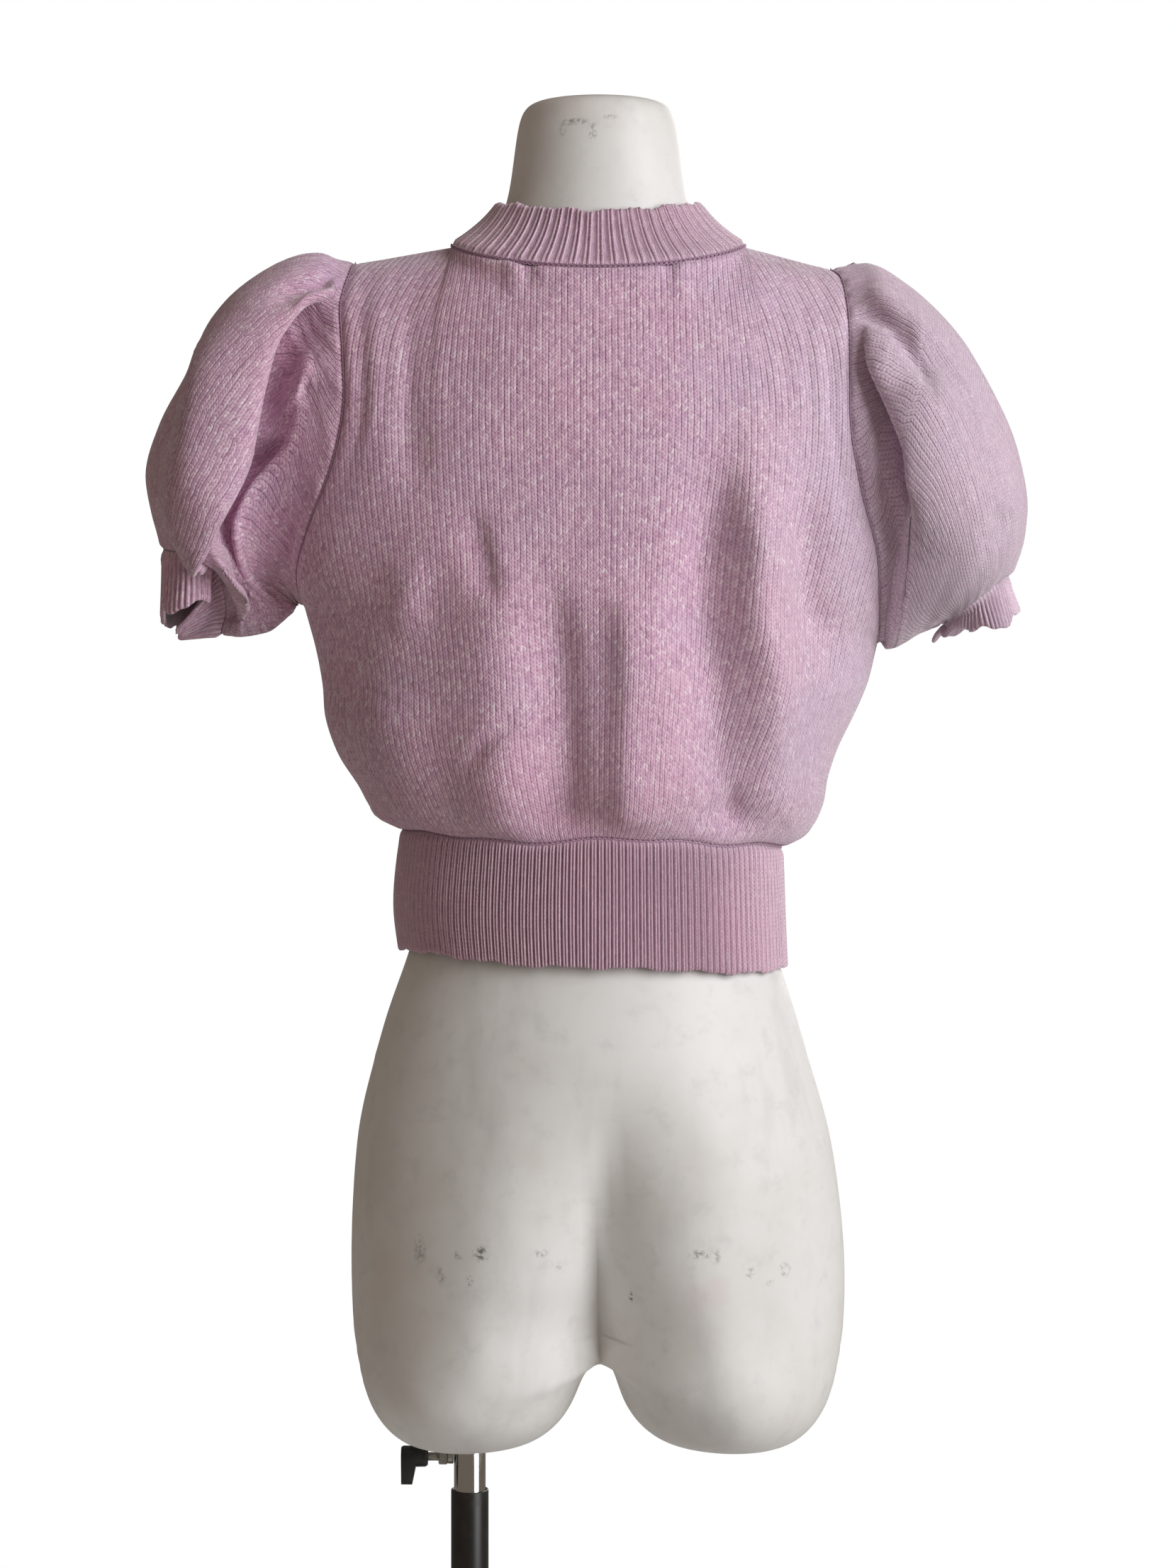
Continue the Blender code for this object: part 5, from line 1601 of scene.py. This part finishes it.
def shade(*screen):
    """A colour from its 0 to 255 values as a screen shows it."""
    return tuple(((c / 255 + 0.055) / 1.055) ** 2.4 if c > 10 else c / 255 / 12.92 for c in screen)


print("middle grey is", round(shade(128, 128, 128)[0], 3))

# %% [markdown]
# ## The yarn
#
# The yarn is a marl: fine plies of pink, cream, lilac and mauve that are spun together. Each stitch
# is a V of two legs. The mesh's own map counts wales across and courses up, so the V is a formula of
# those two numbers, and a random number for each leg picks its ply. A picture of knitting would
# repeat and blur, but the formula is sharp at any size.

# %% Colours and stitch of the yarn
MARL = ((0.0, shade(180, 138, 164)), (0.2, shade(220, 176, 202)), (0.4, shade(240, 204, 223)),
        (0.58, shade(208, 168, 197)), (0.74, shade(234, 190, 216)), (0.94, shade(250, 230, 239)))
# The first colour is painted shade, put into the gaps between strands and the grooves between wales.
GAP_SHADE, PINKER, GREYER = shade(120, 78, 102), shade(238, 184, 206), shade(206, 186, 214)
# Both are painted light: a paler, cooler sheen for the side that faces the key light, and a highlight for
# the ribs' raised wales.
LIT_SIDE_SHEEN, RIDGE_HIGHLIGHT = shade(228, 217, 230), shade(250, 216, 231)
RIDGE_AT = 0.18  # how far a rib's wales are from its middle
WALE_WANDER, COURSE_WANDER = 0.16, 0.8  # how far the yarn strays, in stitches
LEG_LEAN, LEG_SHARP, STRAND_ROUND = 0.8, 3, 0.6  # the shape of a stitch's leg
STRAND_PART, LEG_PART = 0.55, 0.45  # what its strand and its leg give to its height
GAP_SHADE_MOST = 0.95
STITCH_BUMP = 0.0007
SHOULDER_LOW, SHOULDER_HIGH = 0.96, 1.07  # in metres: the painted shade in the grooves is stronger near the shoulders
LIT_SIDE_FROM, LIT_SIDE_TO = 0.02, 0.24  # painted sheen: the right side, which faces the key light, is painted paler and cooler


def yarn_place(one):
    """Wales across and courses up, both of which wander a little, and the plain wales."""
    across, up, _ = one.split(one.node("ShaderNodeUVMap", {"uv_map": "yarn"}))
    u = across + (one.noise(one.join(across * 0.35, up * 0.35), 1.0, 3) - 0.5) * WALE_WANDER
    v = up + (one.noise(one.join(u * 0.6, up * 0.5, 7.0), 1.0, 2) - 0.5) * COURSE_WANDER
    return u, v, across


def marled(one, place, u, v, climb):
    """The colour of each leg of a stitch, with broad pinker and greyer stretches and a painted sheen that
    makes the side facing the key light paler and cooler.
    """
    tuft = one.random((u * 2).floor(), climb.floor())
    slub = one.noise(one.join(u * 1.7, v * 1.1, 3.0), 1.0, 3, 0.7)
    marl = one.node("ShaderNodeValToRGB", {"stops": MARL}, {0: tuft * 0.8 + slub * 0.6 - 0.2})
    broad = one.noise(place, 9.0, 3)
    tinted = one.mix(broad.above(0.45, 0.7) * 0.3, marl, PINKER)
    tinted = one.mix(broad.above(0.52, 0.3) * 0.3, tinted, GREYER)
    # Painted sheen: paler and cooler towards the right, where the key light falls.
    return one.mix(one.split(place)[0].above(LIT_SIDE_FROM, LIT_SIDE_TO) * 0.5, tinted, LIT_SIDE_SHEEN)


print("plies in the marl:", len(MARL))


# %% Knit finish
def yarn_finish(name, rib_wales=0, between=0.0, within=0.0):
    """The marled yarn, in plain jersey or in ribs of so many wales, with painted shade between and within
    ribs.
    """
    one = Finish(name, Roughness=0.9, Sheen_Weight=0.9, Sheen_Roughness=0.4, Specular_IOR_Level=0.2)
    place = one.place()
    u, v, across = yarn_place(one)
    side = abs(u.fract() - 0.5) * 2
    climb = v - side * LEG_LEAN
    strand = (climb.fract() * math.pi).sin() ** STRAND_ROUND
    leg = 1 - (abs(side - 0.5) * 2) ** LEG_SHARP
    uneven = one.noise(one.join((u + 0.5).floor() * 3.7, v * 0.09), 1.0, 2)
    groove = side.above(0.72, 1.0) * uneven.above(0.3, 0.7)
    tinted = marled(one, place, u, v, climb)
    height = one.split(place)[2].above(SHOULDER_LOW, SHOULDER_HIGH)
    depth = strand * STRAND_PART + leg * LEG_PART
    # Painted shade: the gaps between strands and the grooves between wales are painted darker, the grooves
    # more so near the shoulders.
    dark = (1 - depth.above(0.15, 0.75)) * 0.5 + groove * (0.22 + height * 0.25)
    if rib_wales:
        from_middle = abs((across / rib_wales).fract() - 0.5)
        ridge = abs(from_middle - (RIDGE_AT if rib_wales == PAIR_WALES else 0)).above(0.06, 0.16)
        # Painted highlight: a rib's raised wales are painted lighter.
        tinted = one.mix((1 - ridge) * 0.5, tinted, RIDGE_HIGHLIGHT)
        # Painted shade: the valleys between ribs and the groove within a pair are painted darker.
        dark = dark * 0.4 + from_middle.above(0.3, 0.44) * between
        dark = dark + (1 - from_middle.above(0.02, 0.12)) * within
    one.paint(Base_Color=one.mix(dark.math("MINIMUM", GAP_SHADE_MOST), tinted, GAP_SHADE))
    fibre = one.noise(one.join(u * 6, v * 4), 1.0, 3)
    one.bump(depth * 0.8 - groove * 0.5 + fibre * 0.25, STITCH_BUMP, 0.8)
    return one.material


knit = yarn_finish("marl_jersey")
# The last two numbers say how much painted shade falls between ribs and within a pair.
hem_knit = yarn_finish("marl_hem_rib", PAIR_WALES, 0.6, 0.25)
neck_knit = yarn_finish("marl_neck_rib", PAIR_WALES, 0.0, 0.4)
cuff_knit = yarn_finish("marl_cuff_rib", SINGLE_WALES, 0.35)
print("yarn nodes:", len(knit.node_tree.nodes))

# %% [markdown]
# ## The shell of the form
#
# Old shop forms are sprayed off-white and get handled. Broad, faint smudges come from noise, which
# never repeats and needs no map. The dark scuffs are where things rubbed on it, so they are placed one by
# one, each a short stroke that a finer noise breaks up.

# %% Shell finish
SHELL, SHELL_WARM, SHELL_GREY = shade(238, 237, 235), shade(224, 220, 214), shade(208, 207, 206)
STAIN, SCUFF = shade(226, 206, 204), shade(88, 85, 83)
SCUFFS = table(
    "x z wide high dark",
    (-117, 446, 5, 12, 0.45),
    (-92, 444, 4, 4, 0.5),
    (-76, 446, 7, 7, 0.85),
    (-103, 430, 4, 8, 0.4),
    (-84, 428, 3, 5, 0.6),
    (-38, 446, 6, 4, 0.4),
    (-26, 436, 2.5, 4, 0.4),
    (21, 414, 1.8, 5, 0.9),
    (66, 446, 10, 4, 0.55),
    (76, 444, 4, 6, 0.5),
    (99, 432, 4, 5, 0.45),
    (122, 432, 5, 6, 0.5),
    (112, 424, 4, 3, 0.3),
    (-16, 1189, 13, 3, 0.6),
    (-4, 1182, 4, 8, 0.6),
    (-24, 1184, 3, 6, 0.35),
    (8, 1192, 7, 2, 0.4),
)


def scuffed(one, place):
    """How dark the scuffs are at a place on the form's back."""
    x, y, z = one.split(place)
    marks = None
    for scuff_x, scuff_z, wide, high, dark in zip(*SCUFFS.values()):
        far = (((x - scuff_x * MM) / (wide * MM)) ** 2 + ((z - scuff_z * MM) / (high * MM)) ** 2) ** 0.5
        mark = (1 - far.above(0.2, 1.1)) * float(dark)
        marks = mark if marks is None else marks.math("MAXIMUM", mark)
    return marks * one.noise(place, 330.0, 4, 0.7).above(0.44, 0.6) * (1 - y.above(-0.02, 0.0))


def shell_finish():
    """Satin off-white paint with warm smudges, grey streaks and scuffs."""
    one = Finish("form_shell_paint", Specular_IOR_Level=0.42, Coat_Weight=0.12, Coat_Roughness=0.25)
    place = one.place()
    x, y, z = one.split(place)
    cloud = one.noise(place, 7.0, 5, 0.6)
    fine = one.noise(place, 60.0, 4, 0.65)
    streaks = one.noise(one.join(x * 22, y * 22, z * 6), 1.0, 4, 0.6)
    base = one.mix(cloud.above(0.42, 0.72) * 0.8, SHELL, SHELL_WARM)
    base = one.mix(streaks.above(0.5, 0.75) * 0.5, base, SHELL_GREY)
    base = one.mix(fine.above(0.5, 0.75) * 0.35, base, SHELL_GREY)
    base = one.mix(one.noise(place, 13.0, 3).above(0.6, 0.75) * 0.3, base, STAIN)
    marks = scuffed(one, place)
    one.paint(Base_Color=one.mix(marks, base, SCUFF),
              Roughness=0.42 + fine * 0.12 + cloud * 0.08 + marks * 0.2)
    one.bump(fine * 0.5 + cloud, 0.0006, 0.25)
    return one.material


shell = shell_finish()
print("scuffs:", len(SCUFFS["x"]))

# %% [markdown]
# ## Metal and plastic
#
# Black paint, chrome, dull zinc and moulded plastic differ less in colour than in how clean their
# reflections are, so each gets its own roughness pattern, with wear where hands and screws rub.


# %% Stand finishes
def worn_finish(name, colour, worn, roughness, spread, scale, metallic=0.0):
    """A hard finish with fine scratches and patches that are a little duller and lighter."""
    one = Finish(name, Metallic=metallic)
    place = one.place()
    x, y, z = one.split(place)
    patches = one.noise(place, scale, 4, 0.6)
    scratches = one.noise(one.join(x * 90, y * 90, z * 900), 1.0, 3, 0.6)
    wear = patches.above(0.5, 0.75) * 0.5 + scratches.above(0.6, 0.8) * 0.3
    one.paint(Base_Color=one.mix(wear, colour, worn),
              Roughness=roughness + wear * spread + scratches * spread * 0.3)
    one.bump(scratches * 0.3 + patches * 0.2, 0.0001, 0.3)
    return one.material


black_paint = worn_finish("satin_black_paint", shade(28, 26, 24), shade(52, 48, 44), 0.32, 0.25, 40)
chrome = worn_finish("chrome_plate", shade(205, 204, 201), shade(170, 168, 163), 0.07, 0.2, 60, 1.0)
zinc = worn_finish("zinc_plate", shade(172, 169, 160), shade(128, 122, 110), 0.34, 0.25, 300, 1.0)
black_plastic = worn_finish("moulded_black_plastic", shade(30, 30, 29), shade(66, 64, 61), 0.45, 0.25, 120)
print("stand finishes:", [one.name for one in (black_paint, chrome, zinc, black_plastic)])

# %% [markdown]
# ## Seam stitches
#
# The pieces were linked together with a chain of stitches, which shows as a row of small loops in
# each seam. Each loop is the same little ring, so Geometry Nodes set it along a closed line through
# the seam's gap. An array could follow the line too, but it would bend a ring where the seam turns.

# %% The linking chain
CHAIN_LINK, CHAIN_YARN, CHAIN_POINTS = 3.4, 0.5, 600
LINK_WIDE, LINK_SIDES, YARN_SIDES = 0.62, 10, 5
NECK_SUNK, HEM_SUNK, ARMHOLE_SUNK = 0.2, 0.6, 0.8  # how deep each chain lies in its seam


def chain_tree():
    """Rings along a closed curve, each lying in the seam's direction."""
    tree = Tree("linking_chain", Links="Int", Link_Length="Float", Yarn_Radius="Float")
    points = tree.node("GeometryNodeCurveToPoints", {"mode": "COUNT"},
                       {"Curve": tree.inputs["Geometry"], "Count": tree.inputs["Links"]})
    turn = points.node.outputs["Rotation"]
    ring = tree.node("GeometryNodeCurvePrimitiveCircle", values={"Resolution": LINK_SIDES, "Radius": 0.5})
    profile = tree.node("GeometryNodeCurvePrimitiveCircle",
                        values={"Resolution": YARN_SIDES, "Radius": tree.inputs["Yarn Radius"]})
    wide = tree.node("ShaderNodeMath", {"operation": "MULTIPLY"},
                     {0: tree.inputs["Link Length"], 1: LINK_WIDE})
    size = tree.node("ShaderNodeCombineXYZ", values={0: tree.inputs["Link Length"], 1: wide})
    long = tree.node("GeometryNodeTransform",
                     values={"Geometry": ring, "Scale": size, "Rotation": (0, math.pi / 2, 0)})
    link = tree.node("GeometryNodeCurveToMesh", values={"Curve": long, "Profile Curve": profile})
    links = tree.node("GeometryNodeInstanceOnPoints",
                      values={"Points": points, "Instance": link, "Rotation": turn})
    return tree.finish(links)


def seam_chain(name, ring, ring_out, gap, sunk):
    """A chain of stitches along the middle of a seam's gap, sunk into it."""
    line = seam_ring(ring, ring_out, gap / 2) - ring_out * sunk
    links = round(travelled(np.concatenate([line, line[:1]]))[-1] / CHAIN_LINK)
    return grown(name, line_source(name + "_line", line, True), chain_tree(),
                 {"Links": links, "Link Length": CHAIN_LINK * MM, "Yarn Radius": CHAIN_YARN * MM,
                  "Material": knit})


neck_ring = level_ring(2, NECK_SHARE, CHAIN_POINTS, BELOW_NECK)[:2]
neck_chain = seam_chain("neck_linking_chain", *neck_ring, RIB_GAP, NECK_SUNK)
hem_ring = level_ring(0, 1, CHAIN_POINTS, ABOVE_HEM)[:2]
hem_chain = seam_chain("hem_seam_chain", *hem_ring, -SEAM_GAP, HEM_SUNK)
chain_turns = np.arange(CHAIN_POINTS) / CHAIN_POINTS * 2 * math.pi
armhole_chains = [seam_chain("armhole_chain_" + side, *armhole_ring(side, turn), SEAM_GAP, ARMHOLE_SUNK)
                  for side, turn in (("left", -chain_turns % (2 * math.pi)), ("right", chain_turns))]

# %% [markdown]
# ## The bolt's thread
#
# A thread is a helix, and a helix follows a rule. So a tree sweeps a three-sided ridge along a
# spiral, which then lies down along the bolt. A bump in the finish would leave the bolt's outline
# smooth.

# %% The thread
SPIRAL_STEPS, RIDGE_SIDES = 24, 3


def thread_tree():
    """A ridge that winds up a spiral and is then laid along the bolt."""
    tree = Tree("screw_thread", Turns="Float", Length="Float", Radius="Float", Depth="Float")
    spiral = tree.node("GeometryNodeCurveSpiral", values={
        "Resolution": SPIRAL_STEPS, "Rotations": tree.inputs["Turns"], "Height": tree.inputs["Length"],
        "Start Radius": tree.inputs["Radius"], "End Radius": tree.inputs["Radius"]})
    ridge = tree.node("GeometryNodeCurvePrimitiveCircle",
                      values={"Resolution": RIDGE_SIDES, "Radius": tree.inputs["Depth"]})
    thread = tree.node("GeometryNodeCurveToMesh",
                       values={"Curve": spiral, "Profile Curve": ridge, "Fill Caps": True})
    at = ((POLE_X + nut_end) * MM, 0, BOLT_Z * MM)
    placed = tree.node("GeometryNodeTransform",
                       values={"Geometry": thread, "Rotation": (0, -math.pi / 2, 0), "Translation": at})
    return tree.finish(placed)


thread_piece = grown("clamp_thread", line_source("thread_axis", [(0, 0, 0), (1, 0, 0)], False),
                     thread_tree(), {"Turns": SHANK / THREAD_PITCH, "Length": SHANK * MM,
                                     "Radius": (BOLT_R - THREAD_DEPTH) * MM,
                                     "Depth": THREAD_DEPTH * MM, "Material": zinc})

# %% [markdown]
# ## The hand knob
#
# The knob is moulded plastic, whose edges are never quite sharp. The solid has its lever and its
# boss, so its own copy is enough, with a narrow bevel that stops at the flat faces.

# %% The hand knob
KNOB_EDGE, KNOB_STEPS = 0.6, 3

knob_piece = smooth_copy("clamp_knob", "clamp_knob_plastic", 0)
knob_piece.modifiers.clear()
rounding = knob_piece.modifiers.new("Bevel", "BEVEL")
rounding.width, rounding.segments, rounding.limit_method = KNOB_EDGE * MM, KNOB_STEPS, "ANGLE"
knob_piece = applied(knob_piece)
print("the knob has", len(knob_piece.data.polygons), "faces")

# %% [markdown]
# ## Light
#
# The picture has one broad window light from the right and a white background. The world is white
# where the camera sees it, and dim and even where it lights the object, so the left side can fall
# into a warm shadow. A second light, on the far side, is only there for views of the front.

# %% Light
KEY_AT, KEY_SIZE, KEY_POWER, KEY_TINT = (1.85, -1.5, 1.5), (1.5, 2.2), 55, (0.98, 0.995, 1.02)
FAR_AT, FAR_SIZE, FAR_POWER, FAR_TINT = (0.9, 2.3, 1.5), (1.4, 1.6), 30, (1.0, 0.98, 0.96)
AIM = (0, 0, 0.82)


def window(name, at, size, power, colour):
    """A soft rectangular light that faces the garment."""
    data = bpy.data.lights.new(name, "AREA")
    data.shape, data.size, data.size_y = "RECTANGLE", *size
    data.energy, data.color = power, colour
    light = linked(name, data)
    light.location = at
    light.rotation_euler = (Vector(AIM) - Vector(at)).to_track_quat("-Z", "Y").to_euler()
    print(name, "gives", power, "W from", at)


window("key_light", KEY_AT, KEY_SIZE, KEY_POWER, KEY_TINT)
window("far_light", FAR_AT, FAR_SIZE, FAR_POWER, FAR_TINT)

# %% The room
ROOM = (0.2, 0.17, 0.143)

world = bpy.data.worlds.new("studio")
bpy.context.scene.world = world
world.use_nodes = True
room = world.node_tree.nodes["Background"]
room.inputs["Color"].default_value = (*ROOM, 1)
seen = world.node_tree.nodes.new("ShaderNodeBackground")
seen.inputs["Color"].default_value = (1, 1, 1, 1)
path = world.node_tree.nodes.new("ShaderNodeLightPath")
choice = world.node_tree.nodes.new("ShaderNodeMixShader")
for start, end in ((path.outputs["Is Camera Ray"], choice.inputs[0]), (room.outputs[0], choice.inputs[1]),
                   (seen.outputs[0], choice.inputs[2]),
                   (choice.outputs[0], world.node_tree.nodes["World Output"].inputs[0])):
    world.node_tree.links.new(start, end)
bpy.context.scene.view_settings.view_transform = "Standard"
print("the room's light:", ROOM)

# %% [markdown]
# ## The floor
#
# The photograph ends above the floor, but the other views need one to stand on. A pale round plate
# is plainer than a plane that ends somewhere, and it is left off the object's body.

# %% Floor
FLOOR_R, FLOOR_LOW, FLOOR_TOP, FLOOR_SIDES = 720, -4, -0.1, 128
floor_piece = turned("studio_floor", [(FLOOR_R, FLOOR_LOW), (FLOOR_R, FLOOR_TOP)], (0, 0, 0), FLOOR_SIDES)
floor_finish = Finish("pale_floor", Roughness=0.7)
mottled = floor_finish.noise(floor_finish.place(), 3.0, 3)
floor_finish.paint(Base_Color=floor_finish.mix(mottled, shade(240, 240, 239), shade(232, 232, 231)))
floor_piece.data.materials.append(floor_finish.material)

# %% [markdown]
# ## Each piece on the body
#
# Nothing on this object moves, so each piece rides on the one body. It takes its finish, and the
# solid that it replaces is hidden. The chains, the nut and the thread replace nothing.

# %% Pieces and the solids they replace
PIECES = (
    (back_piece, knit, "knit", "back_panel"),
    (front_piece, knit, "knit", "front_panel"),
    (sleeves["left"][0], knit, "knit", "sleeve_left"),
    (sleeves["right"][0], knit, "knit", "sleeve_right"),
    (hem_piece, hem_knit, "rib_knit", "hem_band"),
    (neck_piece, neck_knit, "rib_knit", "neckband"),
    (cuffs["left"], cuff_knit, "rib_knit", "cuff_left"),
    (cuffs["right"], cuff_knit, "rib_knit", "cuff_right"),
    (neck_chain, knit, "rib_knit", None),
    (hem_chain, knit, "rib_knit", None),
    (armhole_chains[0], knit, "knit", None),
    (armhole_chains[1], knit, "knit", None),
    (form_piece, shell, "form_shell", "dress_form"),
    (base_piece, black_paint, "black_metal", "stand_base"),
    (flange_piece, black_paint, "black_metal", "stand_flange"),
    (outer_tube, black_paint, "black_metal", "pole_outer"),
    (inner_tube, chrome, "chrome", "pole_inner"),
    (bolt_piece, zinc, "zinc_steel", "clamp_bolt"),
    (nut_piece, zinc, "zinc_steel", None),
    (thread_piece, zinc, "zinc_steel", None),
    (knob_piece, black_plastic, "black_plastic", "clamp_knob"),
)
for piece, material, slot_name, node in PIECES:
    piece.data.materials.clear()
    piece.data.materials.append(material)
    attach(piece, BODY_NAME)
    if node:
        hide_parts(node)
print("pieces:", len(PIECES))
